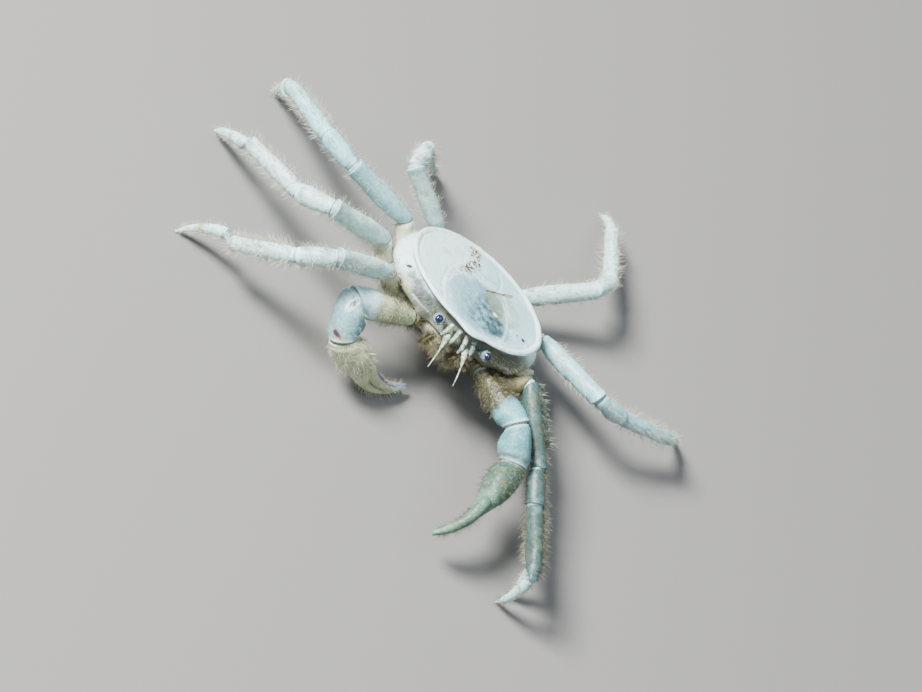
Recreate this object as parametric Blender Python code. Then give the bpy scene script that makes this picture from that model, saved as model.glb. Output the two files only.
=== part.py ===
"""Thai micro crab, a still life-size model standing on its eight walking legs.

The body is modelled level in its own frame and then tilted: +X is the crab's left, -Y its front, +Z up, and
the middle of the flat dorsal disc is the origin. Each limb is a chain of segments from its root to its tip.
A segment's heading is the compass angle of its axis, 0 along +X and 90 along +Y, and its rise the angle above
the floor. Neighbouring segments end in parallel faces a small gap apart. Units are metres.
"""
import math

import bmesh
import bpy
from mathutils import Matrix, Vector

MM = 0.001
JOINT_GAP = 0.3 * MM

# Dorsal disc and side walls of the carapace
DISC_HALF_WIDTH = 4.5 * MM
DISC_HALF_LENGTH = 3.95 * MM
ROSTRUM_REACH = 0.3 * MM
ROSTRUM_HALF_ANGLE = 16
RIM_HEIGHT = 0.18 * MM
RIM_DROP = 0.15 * MM
FLAT_SHARE = 0.88
DOME_HEIGHT = 0.08 * MM
WALL_FOOT = -1.5 * MM
FLARE_SIDE = 1.10
FLARE_FRONT = 0.80
FLARE_BACK = 0.95

# Grooves that part the plates of the disc's upper face
GROOVE_DEPTH = 0.09 * MM
GROOVE_WIDTH = 0.21 * MM
GASTRIC_HALF_WIDTH = 2.3 * MM
GASTRIC_ROUND = 0.12 / MM
GASTRIC_MIDDLE = -1.5 * MM
GASTRIC_FRONT = -3.2 * MM
GASTRIC_BACK = 0.9 * MM
CROSS_GROOVE = 0.75 * MM
CROSS_SLOPE = 0.35
CARDIAC_HALF_WIDTH = 1.3 * MM
CARDIAC_ROUND = 0.25 / MM
CARDIAC_MIDDLE = 1.9 * MM
CARDIAC_BACK = 3.0 * MM

# Underside of the body
STERNUM_HALF_WIDTH = 3.6 * MM
STERNUM_HALF_LENGTH = 2.9 * MM
STERNUM_TOP = WALL_FOOT - JOINT_GAP
STERNUM_BOTTOM = -2.7 * MM
COXA_HEIGHT = -2.28 * MM
COXA_RADIUS = 0.41 * MM
COXA_BEND = 0.7 * MM
COXA_SUNK = 0.75
CLAW_COXA_RADIUS = 0.45 * MM

# Stance of the body over the floor
BODY_HEIGHT = 4.6 * MM
NOSE_UP = 20
LEAN_LEFT = 3

# Eyes, feelers and mouth plates
EYE_CENTRE = (1.62 * MM, -3.72 * MM, -0.75 * MM)
EYE_RADIUS = 0.32 * MM
STALK_ROOT = (1.36 * MM, -3.34 * MM, -0.85 * MM)
STALK_RADIUS = 0.25 * MM
ANTENNA_ROOT = (0.6 * MM, -3.62 * MM, -1.2 * MM)
ANTENNA_REACH = (0.25 * MM, -2.2 * MM, -0.95 * MM)
ANTENNA_RADIUS = 0.25 * MM
ANTENNA_BOW = 0.08
MOUTH_PLATE_HALF_WIDTH = 0.42 * MM
MOUTH_PLATE_HALF_DEPTH = 0.27 * MM

# Walking legs: length of each segment
MERUS_LENGTH = 4.5 * MM
CARPUS_LENGTH = 2.0 * MM
PROPODUS_LENGTH = 4.2 * MM

# Where each leg's merus starts: degrees back from the crab's side, millimetres out from the wall, and height
LEG_ROOT = {
    "1_right": (-28, 0.8, -1.0), "2_right": (-2, 0.8, -1.0),
    "3_right": (32, 0.8, -1.0), "4_right": (60, 0.8, -1.0),
    "1_left": (-30, 0.8, -1.0), "2_left": (-6, 0.45, -1.9),
    "3_left": (20, 0.8, -1.0), "4_left": (51, 0.8, -1.0),
}
LEG_SIZE = {"1_right": 1.0, "2_right": 1.04, "3_right": 1.03, "4_right": 0.92,
            "1_left": 1.0, "2_left": 1.0, "3_left": 1.0, "4_left": 1.02}
DACTYL_BOW = 0.08
DACTYL_BASE_RADIUS = 0.32 * MM
DACTYL_TIP_RADIUS = 0.13 * MM
DACTYL_DEPTH = 1.1

# Heading and rise, in degrees, of the merus, carpus, propodus and dactyl of each walking leg
LEG_STANCE = {
    "1_right": ((218, 21), (201, -32), (164, -43), (177, -51)),
    "2_right": ((209, 25), (162, -35), (144, -29), (128, -50)),
    "3_right": ((187, 20), (158, -4), (131, -29), (102, -63)),
    "4_right": ((173, 35), (81, -10), (52, -50), (59, -56)),
    "1_left": ((-56, -11), (-65, -7), (-72, 0), (-70, -88)),
    "2_left": ((-62, -1), (-64, -7), (-69, -5), (-70, -65)),
    "3_left": ((-31, 19), (15, -21), (27, -17), (53, -41)),
    "4_left": ((38, 15), (63, -19), (98, -15), (104, -35)),
}

# Chelipeds: length of each segment, and the heading and rise of arm, wrist, palm and fingers
CLAW_LENGTHS = (3.8 * MM, 2.1 * MM, 2.9 * MM)
FINGER_LENGTH = 3.2 * MM
CLAW_ROOT_AZIMUTH = -52
CLAW_ROOT_ACROSS = 3.9 * MM
CLAW_ROOT_AHEAD = 3.5 * MM
CLAW_ROOT_HEIGHT = -2.25 * MM
FINGER_BOW = 0.13
FINGER_PARTING = 0.5 * MM
FINGER_SUNK = 0.7 * MM
CLAW_STANCE = {
    "right": ((207, 9), (290, -28), (366, -36), (392, -18)),
    "left": ((-43, 19), (-56, -28), (-100, -6), (-121, -26)),
}

# Each profile gives the segment's two radii at fractions of its length, across and along its depth
MERUS_PROFILE = ((0.0, 0.42, 0.46), (0.12, 0.46, 0.52), (0.45, 0.50, 0.57), (0.85, 0.45, 0.51),
                 (1.0, 0.48, 0.54))
CARPUS_PROFILE = ((0.0, 0.41, 0.45), (0.5, 0.47, 0.52), (0.85, 0.49, 0.55), (1.0, 0.46, 0.50))
PROPODUS_PROFILE = ((0.0, 0.40, 0.44), (0.3, 0.42, 0.47), (0.8, 0.37, 0.42), (1.0, 0.38, 0.43))
CLAW_PROFILES = (
    ("arm", ((0.0, 0.48, 0.52), (0.5, 0.70, 0.76), (0.85, 0.78, 0.84), (1.0, 0.66, 0.72))),
    ("wrist", ((0.0, 0.58, 0.62), (0.45, 0.84, 0.90), (0.8, 0.82, 0.88), (1.0, 0.66, 0.72))),
    ("palm", ((0.0, 0.58, 0.64), (0.3, 0.84, 0.96), (0.7, 0.72, 0.88), (1.0, 0.48, 0.66))),
)
FINGER_BASE_RADIUS = 0.27 * MM
FINGER_TIP_RADIUS = 0.12 * MM

LEG_SIDES = 12
DISC_SIDES = 60
BOW_RINGS = 9
SEGMENT_RINGS = 6
END_SLACK = 0.06 * MM

# Colour and roughness of each kind of surface
SHELL = ((0.80, 0.86, 0.88), 0.45)
UNDERSIDE = ((0.52, 0.50, 0.40), 0.55)
LEG = ((0.74, 0.80, 0.78), 0.5)
DACTYL = ((0.70, 0.72, 0.62), 0.5)
CLAW = ((0.66, 0.64, 0.48), 0.5)
EYE = ((0.02, 0.02, 0.03), 0.15)


def clear_scene():
    for item in list(bpy.data.objects):
        bpy.data.objects.remove(item, do_unlink=True)


def make_material(name, finish):
    colour, roughness = finish
    material = bpy.data.materials.new(name)
    material.use_nodes = True
    shader = material.node_tree.nodes["Principled BSDF"]
    shader.inputs["Base Color"].default_value = (*colour, 1.0)
    shader.inputs["Roughness"].default_value = roughness
    shader.inputs["Metallic"].default_value = 0.0
    return material


def finish_object(name, bm, finish, parent):
    """Turns a closed bmesh into a named object with its own material, under its parent."""
    bmesh.ops.recalc_face_normals(bm, faces=bm.faces)
    mesh = bpy.data.meshes.new(name)
    bm.to_mesh(mesh)
    bm.free()
    mesh.materials.append(make_material(name, finish))
    mesh.shade_smooth()
    mesh.set_sharp_from_angle(angle=math.radians(40))
    item = bpy.data.objects.new(name, mesh)
    item.parent = parent
    bpy.context.collection.objects.link(item)
    return item


def join_as_one(item, extras):
    """Fuses the extra closed solids into the item and keeps its largest closed surface."""
    group = bpy.data.collections.new(item.name + "_extras")
    bpy.context.scene.collection.children.link(group)
    for extra in extras:
        bpy.context.collection.objects.unlink(extra)
        group.objects.link(extra)
    union = item.modifiers.new("union", "BOOLEAN")
    union.operation = "UNION"
    union.operand_type = "COLLECTION"
    union.collection = group
    union.solver = "EXACT"
    union.material_mode = "INDEX"
    depsgraph = bpy.context.evaluated_depsgraph_get()
    fused = bpy.data.meshes.new_from_object(item.evaluated_get(depsgraph))
    item.modifiers.clear()
    item.data = fused
    for extra in extras:
        bpy.data.objects.remove(extra, do_unlink=True)
    bpy.data.collections.remove(group)
    keep_largest_shell(fused)
    return item


def keep_largest_shell(mesh):
    bm = bmesh.new()
    bm.from_mesh(mesh)
    unseen = set(bm.faces)
    shells = []
    while unseen:
        shell = []
        front = [unseen.pop()]
        while front:
            face = front.pop()
            shell.append(face)
            for edge in face.edges:
                for other in edge.link_faces:
                    if other in unseen:
                        unseen.remove(other)
                        front.append(other)
        shells.append(shell)
    shells.sort(key=lambda shell: sum(face.calc_area() for face in shell))
    loose = [face for shell in shells[:-1] for face in shell]
    bmesh.ops.delete(bm, geom=loose, context="FACES")
    bm.to_mesh(mesh)
    bm.free()


def direction(heading, rise):
    heading = math.radians(heading)
    rise = math.radians(rise)
    flat = math.cos(rise)
    return Vector((flat * math.cos(heading), flat * math.sin(heading), math.sin(rise)))


def frame_at(centre, tangent, depth_axis):
    """A matrix whose Z runs along the tangent and whose Y lies as near the depth axis as it can."""
    z_axis = tangent.normalized()
    y_axis = (depth_axis - depth_axis.dot(z_axis) * z_axis).normalized()
    x_axis = y_axis.cross(z_axis)
    turn = Matrix((x_axis, y_axis, z_axis)).transposed()
    return Matrix.Translation(centre) @ turn.to_4x4()


def ring_edges(ring):
    return list({edge for vert in ring for edge in vert.link_edges if edge.other_vert(vert) in ring})


def loft(bm, rings):
    """Extrudes a ring of points from station to station, each point to its own next place, and caps both ends."""
    made = bmesh.ops.create_circle(bm, segments=len(rings[0]), radius=1.0, cap_ends=True)
    ring = {vert: index for index, vert in enumerate(made["verts"])}
    for vert, index in ring.items():
        vert.co = rings[0][index]
    for points in rings[1:]:
        made = bmesh.ops.extrude_edge_only(bm, edges=ring_edges(ring))
        grown = {}
        for vert in made["geom"]:
            if isinstance(vert, bmesh.types.BMVert):
                roots = [edge.other_vert(vert) for edge in vert.link_edges]
                index = next(ring[root] for root in roots if root in ring)
                grown[vert] = index
                vert.co = points[index]
        ring = grown
    bmesh.ops.contextual_create(bm, geom=ring_edges(ring))


def add_tube(bm, centres, tangents, radii, depth_axis, start_normal=None, end_normal=None, sides=LEG_SIDES):
    """Lofts rings along a path. The end rings may be slid along the path to lie in a given plane."""
    rings = []
    last = len(centres) - 1
    for index, (centre, tangent, (across, deep)) in enumerate(zip(centres, tangents, radii)):
        place = frame_at(centre, tangent, depth_axis)
        angles = [2 * math.pi * k / sides for k in range(sides)]
        ring = [place @ Vector((across * math.cos(a), deep * math.sin(a), 0)) for a in angles]
        normal = {0: start_normal, last: end_normal}.get(index)
        if normal is not None:
            along = tangent.normalized()
            ring = [point - along * ((point - centre).dot(normal) / along.dot(normal)) for point in ring]
        rings.append(ring)
    loft(bm, rings)


def read_profile(profile, t):
    for (t0, a0, b0), (t1, a1, b1) in zip(profile, profile[1:]):
        if t <= t1:
            share = (t - t0) / (t1 - t0)
            smooth = share * share * (3 - 2 * share)
            return a0 + (a1 - a0) * smooth, b0 + (b1 - b0) * smooth
    return profile[-1][1:]


def mitre(first, second):
    return (first.normalized() + second.normalized()).normalized()


def make_straight_segment(name, start, along, length, profile, size, start_normal, end_normal, finish):
    """A straight segment whose two end faces lie half a gap inside its joints, in the joints' own planes."""
    along = along.normalized()
    near = JOINT_GAP / 2 / along.dot(start_normal)
    far = length - JOINT_GAP / 2 / along.dot(end_normal)
    widest = max(deep for _, _, deep in profile) * MM * size
    inner_near = near + widest * math.tan(along.angle(start_normal)) + END_SLACK
    inner_far = far - widest * math.tan(along.angle(end_normal)) - END_SLACK
    step = (inner_far - inner_near) / (SEGMENT_RINGS - 1)
    stations = [near] + [inner_near + step * k for k in range(SEGMENT_RINGS)] + [far]
    centres = [start + along * s for s in stations]
    radii = []
    for s in stations:
        across, deep = read_profile(profile, (s - near) / (far - near))
        radii.append((across * MM * size, deep * MM * size))
    bm = bmesh.new()
    up = Vector((0, 0, 1)) if abs(along.z) < 0.9 else Vector((1, 0, 0))
    add_tube(bm, centres, [along] * len(centres), radii, up, start_normal, end_normal)
    return finish_object(name, bm, finish, None)


def bow_path(start, end, bow_axis, bow, count):
    """Points and tangents of a gentle arc from start to end, bowed towards the bow axis."""
    chord = end - start
    side = bow_axis - bow_axis.dot(chord) / chord.length_squared * chord
    if side.length < 0.05 * bow_axis.length:
        side = Vector((0, 0, 1)) - chord.z / chord.length_squared * chord
    control = start + chord / 2 + side.normalized() * chord.length * bow * 2
    centres = []
    tangents = []
    for k in range(count):
        t = k / (count - 1)
        centres.append((1 - t) ** 2 * start + 2 * t * (1 - t) * control + t * t * end)
        tangents.append(((1 - t) * (control - start) + t * (end - control)).normalized())
    return centres, tangents


def make_dactyl(name, start, end, before, size):
    """The last segment of a walking leg: a curved claw that ends in a small flat on the floor."""
    centres, tangents = bow_path(start, end, before, DACTYL_BOW, BOW_RINGS)
    start_normal = mitre(before, tangents[0])
    base = DACTYL_BASE_RADIUS * size
    radii = []
    for k in range(len(centres)):
        t = k / (len(centres) - 1)
        radius = base + (DACTYL_TIP_RADIUS - base) * t ** 1.3
        radii.append((radius, radius * DACTYL_DEPTH))
    slide = base * DACTYL_DEPTH * math.tan(tangents[0].angle(start_normal)) + END_SLACK
    centres[0] = centres[0] + tangents[0] * (JOINT_GAP / 2 / tangents[0].dot(start_normal))
    while len(centres) > 3 and (centres[1] - centres[0]).dot(tangents[0]) < slide:
        del centres[1], tangents[1], radii[1]
    bm = bmesh.new()
    down = Vector((0, 0, -1))
    add_tube(bm, centres, tangents, radii, before.cross(end - start).normalized(), start_normal, down)
    finish_object(name, bm, DACTYL, None)
    return start_normal


def outline_radius(azimuth):
    """Distance from the disc's middle to its rim, with the low rostrum in front."""
    angle = math.radians(azimuth)
    radius = 1.0 / math.hypot(math.cos(angle) / DISC_HALF_WIDTH, math.sin(angle) / DISC_HALF_LENGTH)
    off_front = abs((azimuth + 90 + 180) % 360 - 180)
    if off_front < ROSTRUM_HALF_ANGLE:
        radius += ROSTRUM_REACH * 0.5 * (1 + math.cos(math.pi * off_front / ROSTRUM_HALF_ANGLE))
    return radius


def wall_flare(azimuth):
    """How far the side wall stands out, as a share of the rim's radius: most at the sides, least in front."""
    lateral = abs(math.cos(math.radians(azimuth)))
    blend = min(1.0, max(0.0, (lateral - 0.45) / 0.4))
    blend = blend * blend * (3 - 2 * blend)
    ahead = math.sin(math.radians(azimuth)) < 0
    end = FLARE_FRONT if ahead else FLARE_BACK
    return end + (FLARE_SIDE - end) * blend


def disc_point(azimuth, share, height):
    radius = outline_radius(azimuth) * share
    angle = math.radians(azimuth)
    return Vector((radius * math.cos(angle), radius * math.sin(angle), height))


def groove(distance):
    return math.exp(-(distance / GROOVE_WIDTH) ** 2)


def relief(x, y):
    """Height of the disc's upper face: a raised gastric plate and cardiac plate parted by shallow grooves."""
    across = abs(x)
    gastric_side = GASTRIC_HALF_WIDTH - GASTRIC_ROUND * (y - GASTRIC_MIDDLE) ** 2
    cardiac_side = CARDIAC_HALF_WIDTH - CARDIAC_ROUND * (y - CARDIAC_MIDDLE) ** 2
    grooves = [0.0]
    if GASTRIC_FRONT < y < GASTRIC_BACK:
        grooves.append(groove(across - gastric_side))
    if across < GASTRIC_HALF_WIDTH:
        grooves.append(groove(y - CROSS_GROOVE - CROSS_SLOPE * across))
    if GASTRIC_BACK < y < CARDIAC_BACK:
        grooves.append(groove(across - cardiac_side))
    share = math.hypot(x / DISC_HALF_WIDTH, y / DISC_HALF_LENGTH)
    fade = max(0.0, 1.0 - (share / FLAT_SHARE) ** 8)
    return DOME_HEIGHT * max(0.0, 1.0 - (share / FLAT_SHARE) ** 2) - GROOVE_DEPTH * fade * max(grooves)


def make_carapace(parent):
    """The flat disc with its raised rim, and the wall that flares out below it."""
    top_rings = [(0.08, 0.0), (0.2, 0.0), (0.32, 0.0), (0.44, 0.0), (0.55, 0.0), (0.66, 0.0), (0.76, 0.0),
                 (0.85, 0.1), (0.91, 0.8), (0.955, 1.0)]
    azimuths = [360 * k / DISC_SIDES for k in range(DISC_SIDES)]
    rings = []
    for share, lift in top_rings:
        ring = []
        for azimuth in azimuths:
            point = disc_point(azimuth, share, 0.0)
            point.z = relief(point.x, point.y) + lift * RIM_HEIGHT
            ring.append(point)
        rings.append(ring)
    for share, height in ((0.99, 0.6 * RIM_HEIGHT), (1.0, 0.0), (0.985, -0.8 * RIM_DROP), (0.95, -RIM_DROP)):
        rings.append([disc_point(azimuth, share, height) for azimuth in azimuths])
    wall_levels = ((0.10, -0.30), (0.75, -0.70), (1.0, -1.0), (0.75, -1.3), (0.35, -1.45))
    for share, level in wall_levels:
        ring = []
        for azimuth in azimuths:
            flare = wall_flare(azimuth)
            neck = min(0.93, flare - 0.01)
            ring.append(disc_point(azimuth, neck + (flare - neck) * share, level * MM))
        rings.append(ring)
    bm = bmesh.new()
    loft(bm, rings)
    return finish_object("carapace", bm, SHELL, parent)


def make_sternum(parent, stubs):
    """The underside, with the short coxa and ischium of every limb growing out of it."""
    levels = ((1.0, STERNUM_TOP), (1.0, STERNUM_TOP - 0.3 * MM), (0.94, STERNUM_BOTTOM + 0.25 * MM),
              (0.8, STERNUM_BOTTOM))
    bm = bmesh.new()
    radii = [(STERNUM_HALF_WIDTH * share, STERNUM_HALF_LENGTH * share) for share, _ in levels]
    centres = [Vector((0, 0, height)) for _, height in levels]
    add_tube(bm, centres, [Vector((0, 0, -1))] * len(levels), radii, Vector((0, 1, 0)), sides=36)
    sternum = finish_object("sternum", bm, UNDERSIDE, parent)
    extras = []
    for number, (points, radius, end_normal) in enumerate(stubs):
        bm = bmesh.new()
        centres = [points[0], points[0].lerp(points[1], 0.75), points[1].lerp(points[2], 0.25), points[2]]
        tangents = [points[1] - points[0]] * 2 + [points[2] - points[1]] * 2
        widths = [(radius * 0.9, radius * 0.9)] * 2 + [(radius, radius)] * 2
        add_tube(bm, centres, tangents, widths, Vector((0.1, 0.2, 1.0)), None, end_normal)
        extras.append(finish_object(f"stub_{number}", bm, UNDERSIDE, parent))
    return join_as_one(sternum, extras)


def make_pleon(parent):
    """The abdomen, a flat flap folded down behind the body and forward beneath it."""
    path = [(3.42, -1.82), (3.55, -2.35), (3.2, -3.05), (2.2, -3.36), (1.4, -3.38), (0.7, -3.36)]
    half_widths = (0.9, 1.1, 1.25, 1.2, 0.95, 0.4)
    centres = [Vector((0, y * MM, z * MM)) for y, z in path]
    tangents = []
    for k in range(len(centres)):
        ahead = centres[min(k + 1, len(centres) - 1)]
        behind = centres[max(k - 1, 0)]
        tangents.append(ahead - behind)
    radii = [(width * MM, 0.26 * MM) for width in half_widths]
    bm = bmesh.new()
    add_tube(bm, centres, tangents, radii, Vector((0, 1, 0.9)), Vector((0, 0, -1)), None, sides=20)
    return finish_object("pleon", bm, UNDERSIDE, parent)


def on_side(sign, point):
    return Vector((sign * point[0], point[1], point[2]))


def make_eye(side, sign, parent):
    """A short stalk with the round eye at its end."""
    centre = on_side(sign, EYE_CENTRE)
    root = on_side(sign, STALK_ROOT)
    bm = bmesh.new()
    axis = centre - root
    radii = [(STALK_RADIUS, STALK_RADIUS)] * 2
    add_tube(bm, [root, centre], [axis, axis], radii, Vector((0, 0, 1)), Vector((0, -1, 0)), None)
    stalk = finish_object("eye_" + side, bm, EYE, parent)
    bm = bmesh.new()
    bmesh.ops.create_uvsphere(bm, u_segments=16, v_segments=10, radius=EYE_RADIUS,
                              matrix=Matrix.Translation(centre))
    ball = finish_object("ball", bm, EYE, parent)
    return join_as_one(stalk, [ball])


def make_antenna(side, sign, parent):
    root = on_side(sign, ANTENNA_ROOT)
    tip = root + on_side(sign, ANTENNA_REACH)
    centres, tangents = bow_path(root, tip, Vector((0, 0, 1)), ANTENNA_BOW, BOW_RINGS)
    radii = []
    for k in range(len(centres)):
        radius = ANTENNA_RADIUS * (1 - 0.75 * (k / (len(centres) - 1)) ** 1.5)
        radii.append((radius, radius))
    bm = bmesh.new()
    add_tube(bm, centres, tangents, radii, Vector((0, 0, 1)), Vector((0, -1, 0)), None, sides=10)
    return finish_object("antenna_" + side, bm, LEG, parent)


def make_maxilliped(side, sign, parent):
    """One of the two plates that close over the mouth."""
    path = ((0.58, -3.28, -2.95, 0.7), (0.60, -3.42, -2.7, 1.0), (0.60, -3.5, -2.2, 1.0),
            (0.58, -3.48, -1.8, 0.75))
    centres = [on_side(sign, (x * MM, y * MM, z * MM)) for x, y, z, _ in path]
    up = Vector((0, 0, 1))
    radii = [(MOUTH_PLATE_HALF_WIDTH * share, MOUTH_PLATE_HALF_DEPTH * share) for _, _, _, share in path]
    bm = bmesh.new()
    add_tube(bm, centres, [up] * len(path), radii, Vector((0, 1, 0)))
    return finish_object("maxilliped_" + side, bm, UNDERSIDE, parent)


def leg_root(name, sign):
    azimuth, clear, height = LEG_ROOT[name]
    radius = outline_radius(azimuth) * FLARE_SIDE + clear * MM
    angle = math.radians(azimuth)
    return Vector((sign * radius * math.cos(angle), radius * math.sin(angle), height * MM))


def leg_stub(name, sign):
    """The path, in the body's frame, of a leg's coxa and ischium, from inside the sternum to its root."""
    root = leg_root(name, sign)
    outward = Vector((root.x, root.y, 0)).normalized()
    inner = Vector((STERNUM_HALF_WIDTH * outward.x, STERNUM_HALF_LENGTH * outward.y, 0)) * COXA_SUNK
    inner.z = COXA_HEIGHT
    elbow = root - outward * COXA_BEND
    elbow.z = COXA_HEIGHT
    return [inner, elbow, root]


def claw_stub(sign):
    """The path of a cheliped's coxa and ischium, from inside the sternum to the root of its arm."""
    angle = math.radians(CLAW_ROOT_AZIMUTH)
    across = CLAW_ROOT_ACROSS * math.cos(angle)
    ahead = CLAW_ROOT_AHEAD * math.sin(angle)
    root = on_side(sign, (across, ahead, CLAW_ROOT_HEIGHT))
    inner = Vector((root.x, root.y, 0)) * 0.55
    inner.z = COXA_HEIGHT
    return [inner, inner.lerp(root, 0.6), root]


def make_leg(name, root, first_normal):
    """Merus, carpus, propodus and dactyl. The dactyl is as long as it must be to reach the floor."""
    stance = LEG_STANCE[name]
    size = LEG_SIZE[name]
    axes = [direction(heading, rise) for heading, rise in stance]
    lengths = (MERUS_LENGTH * size, CARPUS_LENGTH * size, PROPODUS_LENGTH * size)
    joints = [root]
    for axis, length in zip(axes, lengths):
        joints.append(joints[-1] + axis * length)
    tip = joints[3] + axes[3] * (joints[3].z / -axes[3].z)
    prefix = "leg_" + name + "_"
    last_normal = make_dactyl(prefix + "dactyl", joints[3], tip, axes[2], size)
    normals = [first_normal, mitre(axes[0], axes[1]), mitre(axes[1], axes[2]), last_normal]
    profiles = (("merus", MERUS_PROFILE), ("carpus", CARPUS_PROFILE), ("propodus", PROPODUS_PROFILE))
    for k, (part, profile) in enumerate(profiles):
        make_straight_segment(prefix + part, joints[k], axes[k], lengths[k], profile, size,
                              normals[k], normals[k + 1], LEG)


def make_finger(name, start, end, bow_axis, shift, start_normal):
    """One finger of a claw: a tapered arc beside the line from start to end."""
    centres, tangents = bow_path(start, end, bow_axis, FINGER_BOW, BOW_RINGS)
    radii = []
    for k in range(len(centres)):
        t = k / (len(centres) - 1)
        radius = FINGER_BASE_RADIUS + (FINGER_TIP_RADIUS - FINGER_BASE_RADIUS) * t ** 1.4
        radii.append((radius * 1.15, radius))
        centres[k] = centres[k] + shift * (FINGER_PARTING / 2 + radius)
    bm = bmesh.new()
    add_tube(bm, centres, tangents, radii, shift, start_normal, None)
    return finish_object(name, bm, CLAW, None)


def make_claw(side, root, first_normal):
    """Arm, wrist, palm with its fixed finger, and the movable finger, closed."""
    axes = [direction(heading, rise) for heading, rise in CLAW_STANCE[side]]
    joints = [root]
    for axis, length in zip(axes, CLAW_LENGTHS):
        joints.append(joints[-1] + axis * length)
    tip = joints[3] + axes[3] * FINGER_LENGTH
    prefix = "claw_" + side + "_"
    normals = [first_normal] + [mitre(first, second) for first, second in zip(axes, axes[1:])]
    for k, (part, profile) in enumerate(CLAW_PROFILES):
        piece = make_straight_segment(prefix + part, joints[k], axes[k], CLAW_LENGTHS[k], profile, 1.0,
                                      normals[k], normals[k + 1], CLAW)
    up = Vector((0, 0, 1))
    shift = (up - up.dot(axes[3]) * axes[3]).normalized()
    fixed = make_finger("fixed_finger", joints[3] - axes[3] * FINGER_SUNK, tip, axes[2], -shift, None)
    join_as_one(piece, [fixed])
    base = joints[3] + axes[3] * (JOINT_GAP / 2 / axes[3].dot(normals[3]))
    make_finger(prefix + "finger", base, tip, axes[2], shift, normals[3])


def centre_on_footprint(stance):
    """Moves the whole crab so that the middle of its bounding box stands over the origin."""
    bpy.context.view_layer.update()
    corners = [item.matrix_world @ Vector(corner)
               for item in bpy.data.objects if item.type == "MESH" for corner in item.bound_box]
    for axis in (0, 1):
        low = min(corner[axis] for corner in corners)
        high = max(corner[axis] for corner in corners)
        stance.location[axis] = -(low + high) / 2


def make_limb(kind, name, sign, path, tilt, stubs):
    """Builds a limb from its root outward, and notes the stub of the sternum that carries it."""
    turn = tilt.to_3x3()
    is_leg = kind == "leg"
    axis = direction(*(LEG_STANCE if is_leg else CLAW_STANCE)[name][0])
    normal = mitre(turn @ (path[2] - path[1]), axis)
    build = make_leg if is_leg else make_claw
    build(name, tilt @ path[2], normal)
    level_normal = turn.inverted() @ normal
    path[2] = path[2] - level_normal * JOINT_GAP / 2
    stubs.append((path, COXA_RADIUS if is_leg else CLAW_COXA_RADIUS, level_normal))


def main():
    clear_scene()
    stance = bpy.data.objects.new("stance", None)
    body = bpy.data.objects.new("body", None)
    for empty in (stance, body):
        bpy.context.collection.objects.link(empty)
    body.parent = stance
    body.location = (0, 0, BODY_HEIGHT)
    body.rotation_euler = (math.radians(-NOSE_UP), math.radians(LEAN_LEFT), 0)
    bpy.context.view_layer.update()
    tilt = body.matrix_world.copy()

    stubs = []
    for side, sign in (("right", -1), ("left", 1)):
        for pair in (1, 2, 3, 4):
            name = f"{pair}_{side}"
            make_limb("leg", name, sign, leg_stub(name, sign), tilt, stubs)
        make_limb("claw", side, sign, claw_stub(sign), tilt, stubs)
        make_eye(side, sign, body)
        make_antenna(side, sign, body)
        make_maxilliped(side, sign, body)
    make_carapace(body)
    make_sternum(body, stubs)
    make_pleon(body)
    for item in bpy.data.objects:
        if item.type == "MESH" and item.parent is None:
            item.parent = stance
    centre_on_footprint(stance)


main()
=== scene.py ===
import math
import random

import bmesh
import bpy
import numpy as np
from mathutils import Euler, Matrix, Vector, noise


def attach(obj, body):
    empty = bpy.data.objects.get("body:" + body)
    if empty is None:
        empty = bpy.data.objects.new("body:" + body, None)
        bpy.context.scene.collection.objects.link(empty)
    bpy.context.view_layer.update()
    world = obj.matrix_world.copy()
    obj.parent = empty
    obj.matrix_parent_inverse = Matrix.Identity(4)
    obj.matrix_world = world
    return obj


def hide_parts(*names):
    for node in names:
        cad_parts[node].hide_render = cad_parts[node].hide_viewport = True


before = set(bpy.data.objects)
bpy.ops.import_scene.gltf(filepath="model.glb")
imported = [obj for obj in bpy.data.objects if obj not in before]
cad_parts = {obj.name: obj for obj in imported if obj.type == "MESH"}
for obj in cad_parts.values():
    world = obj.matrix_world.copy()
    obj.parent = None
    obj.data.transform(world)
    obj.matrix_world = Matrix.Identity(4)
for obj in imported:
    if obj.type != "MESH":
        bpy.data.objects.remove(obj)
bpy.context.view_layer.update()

# The table that the model stands on, with soft studio light from the far left of the picture and a camera
# that looks down on the crab's front. Lengths are in millimetres here and below, and each finished piece is
# brought to metres at the end. The body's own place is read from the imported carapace.
MM = 0.001
NOSE_UP = 20
LEAN_LEFT = 3
DISC_HALF_WIDTH = 4.5
DISC_HALF_LENGTH = 3.95
WALL_FOOT = -1.45
CAMERA_AZIMUTH = -22
CAMERA_RISE = 48
CAMERA_ROLL = 53
CAMERA_DISTANCE = 152
CAMERA_LENS = 110
PICTURE_WIDTH = 922
AIM_LEFT_OF_MIDDLE = 29
AIM_ABOVE_MIDDLE = 20
FLOOR_HALF_WIDTH = 600
FLOOR_COLOUR = (0.205, 0.203, 0.198)
FLOOR_ROUGHNESS = 0.75
LAMPS = (
    ("key", (-70, 185, 215), 80, 4.1, (1.0, 0.985, 0.95)),
    ("fill", (190, 40, 230), 260, 0.55, (0.84, 0.92, 1.0)),
)
ROOM_COLOUR = (0.92, 0.96, 1.0, 1.0)
ROOM_LIGHT = 0.22
NOISE_ROUGHNESS = 0.55


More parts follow.
